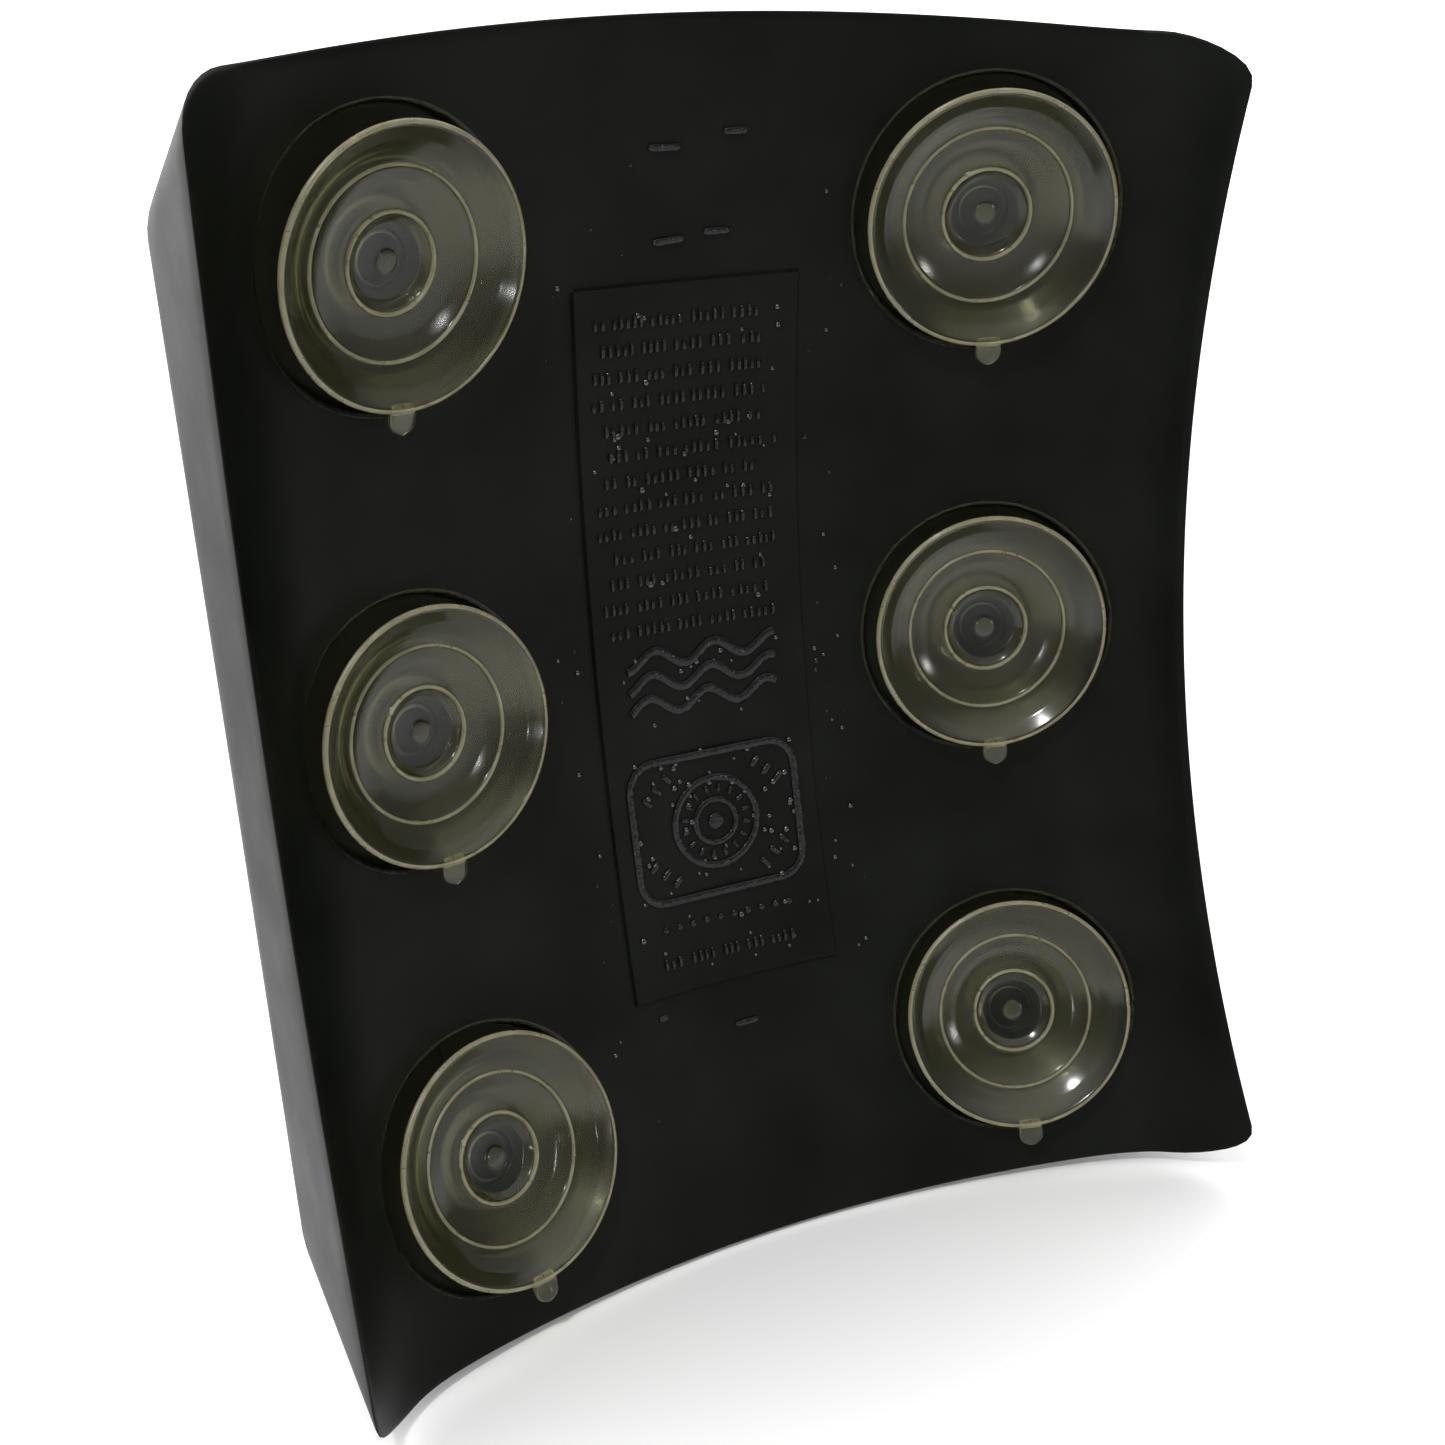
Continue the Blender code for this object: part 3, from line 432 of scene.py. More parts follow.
def rounded(profile, radius, steps):
    """The profile with its inner corners rounded by quadratic curves."""
    points = [Vector(point) for point in profile]
    made = [profile[0]]
    for before, corner, after in zip(points, points[1:], points[2:]):
        reach = min(radius, 0.45 * (corner - before).length, 0.45 * (after - corner).length)
        first = corner + (before - corner).normalized() * reach
        last = corner + (after - corner).normalized() * reach
        made += [tuple(bend(first, corner, last, k / steps)) for k in range(steps + 1)]
    return made + [profile[-1]]


def cut(obj, other, operation="DIFFERENCE"):
    """Cuts the other object out of obj, or joins it on, and removes it."""
    modifier = obj.modifiers.new("cut", "BOOLEAN")
    modifier.operation = operation
    modifier.object = other
    modifier.solver = "EXACT"
    bpy.context.view_layer.update()
    evaluated = obj.evaluated_get(bpy.context.evaluated_depsgraph_get())
    mesh = bpy.data.meshes.new_from_object(evaluated)
    obj.modifiers.clear()
    old = obj.data
    obj.data = mesh
    mesh.name = old.name
    bpy.data.meshes.remove(old)
    bpy.data.objects.remove(other, do_unlink=True)


# ---- the dished surface and its outline ----


def dish_y(x, z):
    curl = EDGE_CURL * (x / HALF_WIDTH) ** CURL_POWER
    return -x * x / (2 * DISH_RADIUS_X) - z * z / (2 * DISH_RADIUS_Z) - curl


def dish_slopes(x, z):
    curl = CURL_POWER * EDGE_CURL / HALF_WIDTH * (x / HALF_WIDTH) ** (CURL_POWER - 1)
    return -x / DISH_RADIUS_X - curl, -z / DISH_RADIUS_Z


def floor_y(x, z):
    slope_x, slope_z = dish_slopes(x, z)
    return dish_y(x, z) + FLOOR_THICKNESS * np.sqrt(1 + slope_x**2 + slope_z**2)


def back_point(x, z):
    """(x, z) on the back for a point of the plain rounded rectangle: sides drawn in, ends bowed out."""
    height, crown = (TOP, TOP_CROWN) if z > 0 else (BOTTOM, BOTTOM_CROWN)
    across = 1 - (x / HALF_WIDTH) ** 2
    along = 1 - (z / height) ** 2
    grow = crown / height * across * (abs(z) / height) ** 4
    return x * (1 - WAIST / HALF_WIDTH * along), z * (1 + grow)


def on_dish(x, z):
    real_x, real_z = back_point(x, z)
    return Vector((real_x, dish_y(real_x, real_z), real_z))


CORNERS = ((1, 1), (-1, 1), (-1, -1), (1, -1))


def corner_point(quarter, share, size):
    """(x, z) on a rounded corner of an outline of the given (half width, top, bottom, corner radius)."""
    half_width, top, bottom, radius = size
    sign_x, sign_z = CORNERS[quarter]
    height = top if sign_z > 0 else bottom
    angle = radians(90 * (quarter + share))
    x = sign_x * (half_width - radius) + radius * cos(angle)
    z = sign_z * (height - radius) + radius * sin(angle)
    return x, z


def edge_point(quarter, share, size):
    """Point on the straight edge that follows a corner."""
    start = Vector(corner_point(quarter, 1, size))
    end = Vector(corner_point((quarter + 1) % 4, 0, size))
    return tuple(start.lerp(end, share))


STEP = 1.7 * MM
CORNER_STEPS = 8
LABEL_EDGE = 0.45 * MM
LABEL_ROWS = [edge + sign * LABEL_EDGE / 2 for edge in (LABEL_TOP, LABEL_BOTTOM) for sign in (-1, 1)]


def spread(start, end):
    """Values from start to end, about one STEP apart."""
    count = max(1, round(abs(end - start) / STEP))
    return [start + (end - start) * k / count for k in range(count + 1)]


def mirrored(values):
    """The values and their negatives, in order."""
    return sorted({-value for value in values} | set(values))


def row_values():
    """Z values of the rows from the bottom to the top, shared by the cells and the middle column."""
    low, high = -(BOTTOM - BACK_EDGE), TOP - BACK_EDGE
    rows = []
    for start, end in ((low, -ROW_EDGE), (-ROW_EDGE, ROW_EDGE), (ROW_EDGE, high)):
        rows += spread(start, end)[: None if end == high else -1]
    for edge in LABEL_ROWS:
        rows = [z for z in rows if abs(z - edge) > 0.5 * MM or abs(abs(z) - ROW_EDGE) < 1e-9]
    return sorted(rows + LABEL_ROWS)


ROWS = row_values()
OUTER_COLUMNS = spread(COLUMN_HALF_WIDTH, HALF_WIDTH - CORNER_RADIUS)
SIDE_EDGE_TOP = spread(ROW_EDGE, TOP - CORNER_RADIUS)
SIDE_EDGE_MIDDLE = spread(-ROW_EDGE, ROW_EDGE)
SIDE_EDGE_BOTTOM = spread(ROW_EDGE, BOTTOM - CORNER_RADIUS)
ROW_LINE = spread(COLUMN_HALF_WIDTH, HALF_WIDTH - BACK_EDGE)
LABEL_COLUMNS = [LABEL_HALF_WIDTH - LABEL_EDGE / 2, LABEL_HALF_WIDTH + LABEL_EDGE / 2]
INNER_COLUMNS = spread(0, LABEL_COLUMNS[0]) + [LABEL_COLUMNS[1], 23 * MM, COLUMN_HALF_WIDTH]


def cell_boundary(row, side):
    """Flat (x, z) points round a cup's cell, anticlockwise as seen with x to the right and z up."""
    outer = HALF_WIDTH - BACK_EDGE
    if row == "middle":
        points = [(x, -ROW_EDGE) for x in ROW_LINE]
        points += [(outer, z) for z in SIDE_EDGE_MIDDLE[1:]]
        points += [(x, ROW_EDGE) for x in reversed(ROW_LINE[:-1])]
        inner = [z for z in ROWS if -ROW_EDGE < z < ROW_EDGE]
    else:
        height, edge = (TOP, SIDE_EDGE_TOP) if row == "upper" else (BOTTOM, SIDE_EDGE_BOTTOM)
        size = [value - BACK_EDGE for value in (HALF_WIDTH, height, height, CORNER_RADIUS)]
        points = [(x, ROW_EDGE) for x in ROW_LINE]
        points += [(outer, z) for z in edge[1:]]
        points += [corner_point(0, k / CORNER_STEPS, size) for k in range(1, CORNER_STEPS + 1)]
        points += [(x, height - BACK_EDGE) for x in reversed(OUTER_COLUMNS[:-1])]
        upright = ROWS if row == "upper" else [-z for z in ROWS]
        inner = sorted(z for z in upright if ROW_EDGE < z < height - BACK_EDGE - 1e-9)
    points += [(COLUMN_HALF_WIDTH, z) for z in reversed(inner)]
    if row == "lower":
        points = [(x, -z) for x, z in reversed(points)]
    if side == "left":
        points = [(-x, z) for x, z in reversed(points)]
    return points


def cup_frames():
    """Each cup's row, side, recess centre and its axes (across, up, outward), from the joints."""
    frames = {}
    for joint in frame["joints"]:
        if not joint["name"].startswith("cup_"):
            continue
        _, row, side, _ = joint["name"].split("_")
        outward = Vector(joint["axis"]).normalized()
        across = Vector((0, 0, 1)).cross(outward).normalized()
        frames[row, side] = (Vector(joint["pos_m"]), across, outward.cross(across), outward)
    return frames


CUPS = cup_frames()


def height_over_floor(cup, a, b):
    """Height of the dished surface along outward, over the recess floor, at local (a, b)."""
    centre, across, up, outward = (np.array(v) for v in cup)
    w = np.zeros_like(a)
    for _ in range(8):
        x, y, z = (centre[k] + a * across[k] + b * up[k] + w * outward[k] for k in range(3))
        slope_x, slope_z = dish_slopes(x, z)
        miss = y - dish_y(x, z)
        w = w - miss / (outward[1] - slope_x * outward[0] - slope_z * outward[2])
    return w


def add_cell(bm, row, side):
    """A cup's cell: socket, recess floor, wall, rounded lip, and the dish out to the cell's boundary."""
    centre, across, up, outward = CUPS[row, side]
    boundary = [on_dish(*point) for point in cell_boundary(row, side)]
    a, b = (np.array([(point - centre).dot(axis) for point in boundary]) for axis in (across, up))
    angle, reach = np.arctan2(b, a), np.hypot(a, b)

    def surface(radius):
        return height_over_floor(CUPS[row, side], radius * np.cos(angle), radius * np.sin(angle))

    def place(radius, height):
        radius, height = (value * np.ones_like(angle) for value in (radius, height))
        return [
            centre + across * (r * cos(t)) + up * (r * sin(t)) + outward * h
            for r, t, h in zip(radius, angle, height)
        ]

    rings = [
        place(SOCKET_RADIUS, -SOCKET_DEPTH),
        place(SOCKET_RADIUS, -SOCKET_LIP),
        place(SOCKET_MOUTH, -SOCKET_LIP),
        place(SOCKET_MOUTH, -0.3 * MM),
        place(SOCKET_MOUTH + 0.3 * MM, 0.0),
    ]
    bottom = np.minimum(0.0, surface(RECESS_RADIUS))
    wall = surface(RECESS_RADIUS) - bottom
    fillet = np.minimum(RECESS_FILLET, 0.45 * wall)
    lip = np.minimum(RECESS_LIP, 0.45 * wall)
    for radius in (7, 10, 13, 16, 18, 20, 21.4, 22.4):
        rings.append(place(radius * MM, np.minimum(0.0, surface(radius * MM))))
    for k in range(5):
        t = radians(90) * k / 4
        inwards, upwards = 1 - sin(t), 1 - cos(t)
        rings.append(place(RECESS_RADIUS - fillet * inwards, bottom + fillet * upwards))
    lip_end = surface(RECESS_RADIUS + lip)
    top = bottom + wall
    for k in range(5):
        t = k / 4
        rings.append(place(RECESS_RADIUS + lip * t * t, bend(top - lip, top, lip_end, t)))
    out_steps = 12
    for k in range(1, out_steps):
        radius = (RECESS_RADIUS + lip) + (reach - RECESS_RADIUS - lip) * (k / out_steps) ** 1.3
        rings.append(place(radius, surface(radius)))
    rings.append(boundary)
    add_rings(bm, rings, close_start=centre - outward * SOCKET_DEPTH)


def label_lift(x, z):
    """Height of the label panel over the dish at flat (x, z)."""
    return LABEL_HEIGHT if abs(x) < LABEL_HALF_WIDTH and LABEL_BOTTOM < z < LABEL_TOP else 0.0


def add_middle_column(bm):
    columns = mirrored(INNER_COLUMNS)
    grid = []
    for z in ROWS:
        line = []
        for x in columns:
            point = on_dish(x, z)
            point.y -= label_lift(x, z)
            line.append(bm.verts.new(point))
        grid.append(line)
    for low, high in zip(grid, grid[1:]):
        for i in range(len(columns) - 1):
            bm.faces.new((low[i], low[i + 1], high[i + 1], high[i]))


def outline_marks():
    """(kind, quarter, share) of every outline point, anticlockwise from the upper right corner."""
    columns = mirrored(INNER_COLUMNS + OUTER_COLUMNS)
    side = sorted({-z for z in SIDE_EDGE_BOTTOM} | set(SIDE_EDGE_MIDDLE) | set(SIDE_EDGE_TOP))
    along = {0: columns[::-1], 1: side[::-1], 2: columns, 3: side}
    marks = []
    for quarter in range(4):
        marks += [(corner_point, quarter, k / CORNER_STEPS) for k in range(CORNER_STEPS)]
        axis = quarter % 2
        start = corner_point(quarter, 1, INNER_OUTLINE)[axis]
        end = corner_point((quarter + 1) % 4, 0, INNER_OUTLINE)[axis]
        shares = [(value - start) / (end - start) for value in along[quarter]]
        marks += [(edge_point, quarter, share) for share in shares if -1e-6 < share < 1 - 1e-6]
    return marks


def loop_at(marks, size):
    return [kind(quarter, share, size) for kind, quarter, share in marks]


def shoulder_points(marks):
    points = []
    for x, z in loop_at(marks, SHOULDER_LOOP):
        height, crown = (SHOULDER_TOP, TOP_CROWN) if z > 0 else (SHOULDER_BOTTOM, BOTTOM_CROWN)
        across = 1 - (x / SHOULDER_HALF_WIDTH) ** 2
        z *= 1 + crown / height * across
        bulge = SHOULDER_BULGE * (1 - min(1, abs(x) / SHOULDER_HALF_WIDTH) ** 2)
        points.append(Vector((x, SHOULDER_Y + bulge, z)))
    return points


def flat_points(marks, loop, y, shrink=0.0):
    return [Vector((x, y, z)) for x, z in loop_at(marks, [size - shrink for size in loop])]


def curve_rings(first, corner, last, steps):
    """Rings of the quadratic curves from first to last, without the first one."""
    return [[bend(*points, k / steps) for points in zip(first, corner, last)] for k in range(1, steps + 1)]


def straight_rings(first, last, steps):
    """Rings from first to last, without the first one."""
    return [[a.lerp(b, k / steps) for a, b in zip(first, last)] for k in range(1, steps + 1)]


def towards(start, end, distance):
    return [a + (b - a).normalized() * distance for a, b in zip(start, end)]


def boss_floor_y(x, z):
    """Cavity floor with a round boss behind each cup's socket."""
    y = float(floor_y(x, z))
    for centre, _, _, outward in CUPS.values():
        # end_y is where the boss's flat end lies at this (x, z)
        plane = centre - outward * (SOCKET_DEPTH + 2 * MM)
        end_y = plane.y - ((x - plane.x) * outward.x + (z - plane.z) * outward.z) / outward.y
        away = Vector((x, end_y, z)) - centre
        radius = (away - outward * away.dot(outward)).length
        share = min(1.0, max(0.0, (BOSS_RADIUS - radius) / BOSS_SLOPE))
        y += (max(y, end_y) - y) * share
    return y


def add_side_and_front(bm):
    """Side wall, front rim, ledge and cavity, ring by ring round the outline."""
    marks = outline_marks()
    inner_back = [on_dish(x, z) for x, z in loop_at(marks, INNER_OUTLINE)]
    back = [on_dish(x, z) for x, z in loop_at(marks, OUTLINE)]
    shoulder = shoulder_points(marks)
    front = flat_points(marks, FRONT_LOOP, FRONT_Y)
    lip = flat_points(marks, COVER_LOOP, FRONT_Y, -0.7 * MM)
    rings = [inner_back]
    start = towards(back, shoulder, BACK_EDGE)
    rings += curve_rings(inner_back, back, start, 5)
    before = towards(shoulder, back, SHOULDER_ROUND)
    after = towards(shoulder, front, SHOULDER_ROUND)
    rings += straight_rings(start, before, 6)
    rings += curve_rings(before, shoulder, after, 6)
    near_front = towards(front, shoulder, FRONT_EDGE)
    on_front = towards(front, lip, FRONT_EDGE)
    rings += straight_rings(after, near_front, 6)
    rings += curve_rings(near_front, front, on_front, 5)
    rings.append(lip)
    rings.append(flat_points(marks, COVER_LOOP, FRONT_Y - 0.4 * MM, -0.3 * MM))
    rings.append(flat_points(marks, COVER_LOOP, LEDGE_Y, -0.3 * MM))
    rings.append(flat_points(marks, CAVITY_LOOP, LEDGE_Y))
    for scale in [1 - k / CAVITY_RINGS for k in range(CAVITY_RINGS)]:
        ring = [(x * scale, z * scale) for x, z in loop_at(marks, CAVITY_LOOP)]
        rings.append([(x, boss_floor_y(x, z), z) for x, z in ring])
    add_rings(bm, rings, close_end=(0, boss_floor_y(0, 0), 0))


def cylinder_between(bm, radius, low, high, sides=48):
    low, high = Vector(low), Vector(high)
    turn = Vector((0, 0, 1)).rotation_difference(high - low).to_matrix().to_4x4()
    length = (high - low).length
    profile = [(0, length), (radius, length), (radius, 0), (0, 0)]
    revolve(bm, profile, sides, Matrix.Translation(low) @ turn)


def gland_centre():
    low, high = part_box("gland_nut")
    return (low.x + high.x) / 2, (low.y + high.y) / 2


def polish_lips(mesh):
    """A smooth, shiny edge round each recess."""
    mesh.materials.append(RELIEF)
    for face in mesh.polygons:
        for centre, _, _, outward in CUPS.values():
            away = face.center - centre
            height = away.dot(outward)
            radius = (away - outward * height).length
            if RECESS_RADIUS < radius < RECESS_RADIUS + 0.85 * MM and height > 0.8 * MM:
                face.material_index = 1


def make_housing():
    bm = bmesh.new()
    for row, side in CUPS:
        add_cell(bm, row, side)
    add_middle_column(bm)
    add_side_and_front(bm)
    merge(bm)
    shell = finish_object("housing_shell", bm, BLACK, 32)
    x, y = gland_centre()
    for name, operation, radius, low, high in (
        ("seat", "UNION", GLAND_SEAT_RADIUS, CAVITY_LOOP[1] + 2 * MM, GLAND_SEAT_Z),
        ("spot", "DIFFERENCE", GLAND_SEAT_RADIUS + 0.4 * MM, GLAND_SEAT_Z, GLAND_SEAT_Z + 20 * MM),
        ("bore", "DIFFERENCE", GLAND_BORE_RADIUS, CAVITY_LOOP[1] - 5 * MM, GLAND_SEAT_Z + 5 * MM),
    ):
        tool = solid_from(name, lambda bm: cylinder_between(bm, radius, (x, y, low), (x, y, high)))
        cut(shell, tool, operation)
    polish_lips(shell.data)
    smooth(shell.data, 32)
    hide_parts("housing")


# ---- raised marks on the back ----


MARK_HEIGHT = 0.55 * MM
MARK_SINK = 0.3 * MM
MARK_EDGE = 0.22 * MM
ROUND_END_STEPS = 5


def mark_point(x, z, height):
    """Point over the back at the flat place (x, z): over the label panel, or over the plain dish."""
    slope_x, slope_z = dish_slopes(x, z)
    outward = Vector((slope_x, -1, slope_z)).normalized()
    return Vector((x, dish_y(x, z) - label_lift(x, z), z)) + outward * height


def pill_outline(x, z, length, width, turn=0.0):
    """Flat outline of a bar with round ends, whose long axis is turned from X."""
    half = max(0.0, (length - width) / 2)
    outline = []
    for end, start in ((1, -90), (-1, 90)):
        for k in range(ROUND_END_STEPS + 1):
            angle = radians(start + 180 * k / ROUND_END_STEPS)
            outline.append((end * half + width / 2 * cos(angle), width / 2 * sin(angle)))
    c, s = cos(turn), sin(turn)
    return [(x + a * c - b * s, z + a * s + b * c) for a, b in outline]


def inset(outline, centre, distance):
    """The outline drawn in towards its centre by a distance."""
    drawn = []
    for x, z in outline:
        away = Vector((x - centre[0], z - centre[1]))
        drawn.append(tuple(Vector(centre) + away * max(0.2, 1 - distance / away.length)))
    return drawn


def add_mark(bm, outline, centre, height=MARK_HEIGHT):
    """Low raised mark with a rounded edge, sunk a little into the back."""
    top = inset(outline, centre, MARK_EDGE)
    crown = inset(outline, centre, 2 * MARK_EDGE)
    loops = (outline, outline, top, crown)
    levels = (-MARK_SINK, height - MARK_EDGE, height - 0.3 * MARK_EDGE, height)
    rings = [[mark_point(x, z, level) for x, z in loop] for loop, level in zip(loops, levels)]
    add_rings(bm, rings, mark_point(*centre, -MARK_SINK), mark_point(*centre, height))


def add_dash(bm, x, z, length, width, turn=0.0):
    add_mark(bm, pill_outline(x, z, length, width, turn), (x, z))


def add_band(bm, points, width, closed=True):
    """Raised line of even width along flat points; the ends of an open line are closed."""
    count = len(points)
    half = ((1.0, -MARK_SINK), (1.0, MARK_HEIGHT - MARK_EDGE), (0.5, MARK_HEIGHT))
    section = half + tuple((-a, h) for a, h in reversed(half))
    rings = []
    for i, (x, z) in enumerate(points):
        after = points[(i + 1) % count] if closed or i < count - 1 else points[i]
        before = points[i - 1] if closed or i else points[i]
        along = Vector((after[0] - before[0], after[1] - before[1])).normalized()
        side = Vector((-along.y, along.x)) * width / 2
        rings.append([mark_point(x + side.x * a, z + side.y * a, h) for a, h in section])
    if closed:
        add_rings(bm, rings + rings[:1])
        return
    middles = [mark_point(*points[i], MARK_HEIGHT / 2 - MARK_SINK / 2) for i in (0, -1)]
    add_rings(bm, rings, *middles)


def rounded_frame(x, z, half_width, half_height, radius, steps=6):
    size = (half_width, half_height, half_height, radius)
    points = [corner_point(quarter, k / steps, size) for quarter in range(4) for k in range(steps + 1)]
    return [(x + a, z + c) for a, c in points]


def circle(x, z, radius, steps=36):
    return [(x + radius * cos(a), z + radius * sin(a)) for a in turns(steps)]


ROW_PITCH = 4.6 * MM
BAR_WIDTH = 0.75 * MM
BAR_HEIGHT = 2.2 * MM
MARK_ROWS = 13
RING_Z = -30 * MM


def add_bar_row(bm, rng, z, left, right):
    """A row of short upright bars in uneven groups."""
    x = left
    while x < right:
        for _ in range(rng.choice((2, 3, 3, 4, 5))):
            tall = BAR_HEIGHT * rng.choice((0.75, 1.0, 1.0))
            add_dash(bm, x, z + (tall - BAR_HEIGHT) / 2, tall, BAR_WIDTH, pi / 2)
            x += rng.uniform(1.2, 1.6) * MM
            if x > right:
                return
        x += rng.uniform(0.8, 1.5) * MM


def make_label_relief():
    """Plain raised marks on the label panel: rows of bars, three waves, a framed ring and a row of dots."""
    rng = random.Random(7)
    bm = bmesh.new()
    for row in range(MARK_ROWS):
        z = LABEL_TOP - 5 * MM - row * ROW_PITCH
        add_bar_row(bm, rng, z, rng.uniform(-18.5, -15) * MM, rng.uniform(13, 18) * MM)
    for k in range(3):
        z = 3 * MM - 4.4 * MM * k
        steps = [-15 * MM + 30 * MM * n / 40 for n in range(41)]
        wave = [(x, z + 1.6 * MM * sin(2 * pi * x / (12 * MM) + 0.5 * k)) for x in steps]
        add_band(bm, wave, 1.6 * MM, closed=False)
    add_band(bm, rounded_frame(0, RING_Z, 17 * MM, 13.5 * MM, 5 * MM), 1.4 * MM)
    add_band(bm, circle(0, RING_Z, 8.5 * MM), 1.3 * MM)
    add_band(bm, circle(0, RING_Z, 4.2 * MM, 24), 1.1 * MM)
    for k in range(16):
        angle = 2 * pi * (k + 0.5) / 16
        x, z = 6.4 * MM * cos(angle), RING_Z + 6.4 * MM * sin(angle)
        add_dash(bm, x, z, 1.6 * MM, 0.8 * MM, angle)
    for sign_x, sign_z in CORNERS:
        for k in range(3):
            x = sign_x * (13.6 - 2.2 * k) * MM
            z = RING_Z + sign_z * (6.2 + 1.9 * k) * MM
            add_dash(bm, x, z, 2.6 * MM, 1.1 * MM, pi / 4 * sign_x * sign_z)
    add_mark(bm, circle(0, RING_Z, 1.6 * MM, 16), (0, RING_Z))
    for k in range(10):
        add_dash(bm, (k - 4.5) * 2.9 * MM, -48.5 * MM, 1.3 * MM, 1.3 * MM)
    add_bar_row(bm, rng, -55 * MM, -14 * MM, 15 * MM)
    finish_object("label_relief", bm, RELIEF, 40)


def add_bead(bm, x, z, radius):
    """Small dome on the back."""
    rings = [[mark_point(a, c, -MARK_SINK) for a, c in circle(x, z, radius, 12)]]
    for k in range(4):
        rise = radians(15 + 22 * k)
        ring = circle(x, z, radius * cos(rise), 12)
        rings.append([mark_point(a, c, 0.8 * radius * sin(rise)) for a, c in ring])
    add_rings(bm, rings, mark_point(x, z, -MARK_SINK), mark_point(x, z, 0.8 * radius))


def make_beads():
    """Beads scattered over the panel's marks, most of them round the ring, and a few beside the panel."""
    rng = random.Random(5)
    bm = bmesh.new()
    groups = ((60, 17, -44, -16), (18, 17, -10, 6), (34, 19, 8, 66), (12, 19, -58, -46))
    for count, reach, low, high in groups:
        for _ in range(count):
            x, z = rng.uniform(-reach, reach) * MM, rng.uniform(low, high) * MM
            add_bead(bm, x, z, rng.uniform(0.35, 0.75) * MM)
    for _ in range(22):
        x = rng.choice((-1, 1)) * rng.uniform(23.5, 29) * MM
        add_bead(bm, x, rng.uniform(-84, 94) * MM, rng.uniform(0.35, 0.6) * MM)
    finish_object("mould_beads", bm, WET, 50)


def make_mould_marks():
    """Small marks that the mould left above and below the panel, and stray specks."""
    rng = random.Random(11)
    bm = bmesh.new()
    for x, z, length in ((-4, 92, 6), (9, 94, 4.5), (-3, 77, 6), (6, 78, 5), (1, -70, 5), (-16, -65, 2)):
        add_dash(bm, x * MM, z * MM, length * MM, 1.2 * MM, rng.uniform(-0.1, 0.1))
    for _ in range(26):
        x = rng.uniform(-30, 30) * MM
        z = rng.uniform(-86, 96) * MM
        if abs(x) < LABEL_HALF_WIDTH + MM and LABEL_BOTTOM - MM < z < LABEL_TOP + MM:
            x = copysign(LABEL_HALF_WIDTH + rng.uniform(1.5, 4) * MM, x)
        size = rng.uniform(0.5, 1.0) * MM
        add_mark(bm, circle(x, z, size / 2, 10), (x, z), height=0.35 * MM)
    finish_object("mould_marks", bm, RELIEF, 40)


# ---- suction cups ----


def cup_section():
    """(radius, height) points: the hollow side from the middle to the rim, then back to the stem's button."""
    edge, top = CUP_RADIUS / MM, CUP_RIM_HEIGHT / MM
    lip, end = -SOCKET_LIP / MM, -SOCKET_DEPTH / MM + 0.7
    gate = [(0, 3.0), (1.5, 2.95), (2.1, 2.75), (6.0, 2.9)]
    inner_ring = [(7.5, 3.7), (7.75, 4.5), (8.15, 4.5), (8.4, 3.9), (12, 4.3)]
    outer_ring = [(14.8, 5.0), (15.0, 5.6), (15.3, 5.7), (15.5, 5.3), (19.2, 7.3)]
    rim = [(edge - 1.1, top - 0.15), (edge - 0.5, top), (edge, top - 0.35), (edge - 0.1, top - 0.9)]
    outside = [(20, 6.2), (17.5, 4.3), (13, 2.1), (8, 0.5), (5, 0.35), (4, -0.2)]
    button = [(4, lip - 0.4), (6.2, lip - 0.6), (6.2, lip - 2.6), (4.5, end), (0, end)]
    return in_mm(gate + inner_ring + outer_ring + rim + outside + button)


def dress_cup(mesh):
    """Clear PVC; on the hollow side the rings and the rim take a paler copy that paints their highlight, the stem
    a darker copy that paints the shade of the socket behind it, and the gate is hazy.
    """
    bands = ((7.6 * MM, 8.3 * MM), (14.85 * MM, 15.45 * MM), (CUP_RADIUS - 0.8 * MM, CUP_RADIUS + 0.1 * MM))
    for material in (PVC, RING_HIGHLIGHT_PVC, STEM_SHADE_PVC, HAZY_PVC):
        mesh.materials.append(material)
    for face in mesh.polygons:
        radius = face.center.xy.length
        hollow_side = face.center.z > 1.8 * MM + 0.18 * radius
        if hollow_side and any(low < radius < high for low, high in bands):
            # painted highlight: the rings and the rim take the paler PVC copy
            face.material_index = 1
        elif hollow_side and radius < 6 * MM:
            # painted shade: the stem takes the darker PVC copy; the gate mark stays hazy
            face.material_index = 2 if radius > 1.7 * MM else 3


def cup_tab(bm):
    """Pull tab under the rim: a flat tongue that widens a little and ends round."""
    half_thick = 0.75 * MM
    middle = CUP_RIM_HEIGHT - 0.5 * MM - half_thick
    start, length = CUP_RADIUS - 0.9 * MM, 4.6 * MM
    rings = []
    for k in range(9):
        t = k / 8
        half = 2.1 * MM + 0.35 * MM * sin(pi * min(1, t * 1.3) / 1.3)
        if t > 0.6:
            half *= sqrt(max(0.02, 1 - ((t - 0.6) / 0.41) ** 2))
        thick = half_thick * (1 - 0.25 * t)
        y = -start - length * t
        ring = []
        for angle in turns(16):
            c, s = cos(angle), sin(angle)
            wide = copysign(abs(c) ** 0.6, c)
            deep = copysign(abs(s) ** 0.6, s)
            ring.append(Vector((half * wide, y, middle + thick * deep)))
        rings.append(ring)
    add_rings(bm, rings, rings[0][0].lerp(rings[0][8], 0.5), rings[-1][0].lerp(rings[-1][8], 0.5))


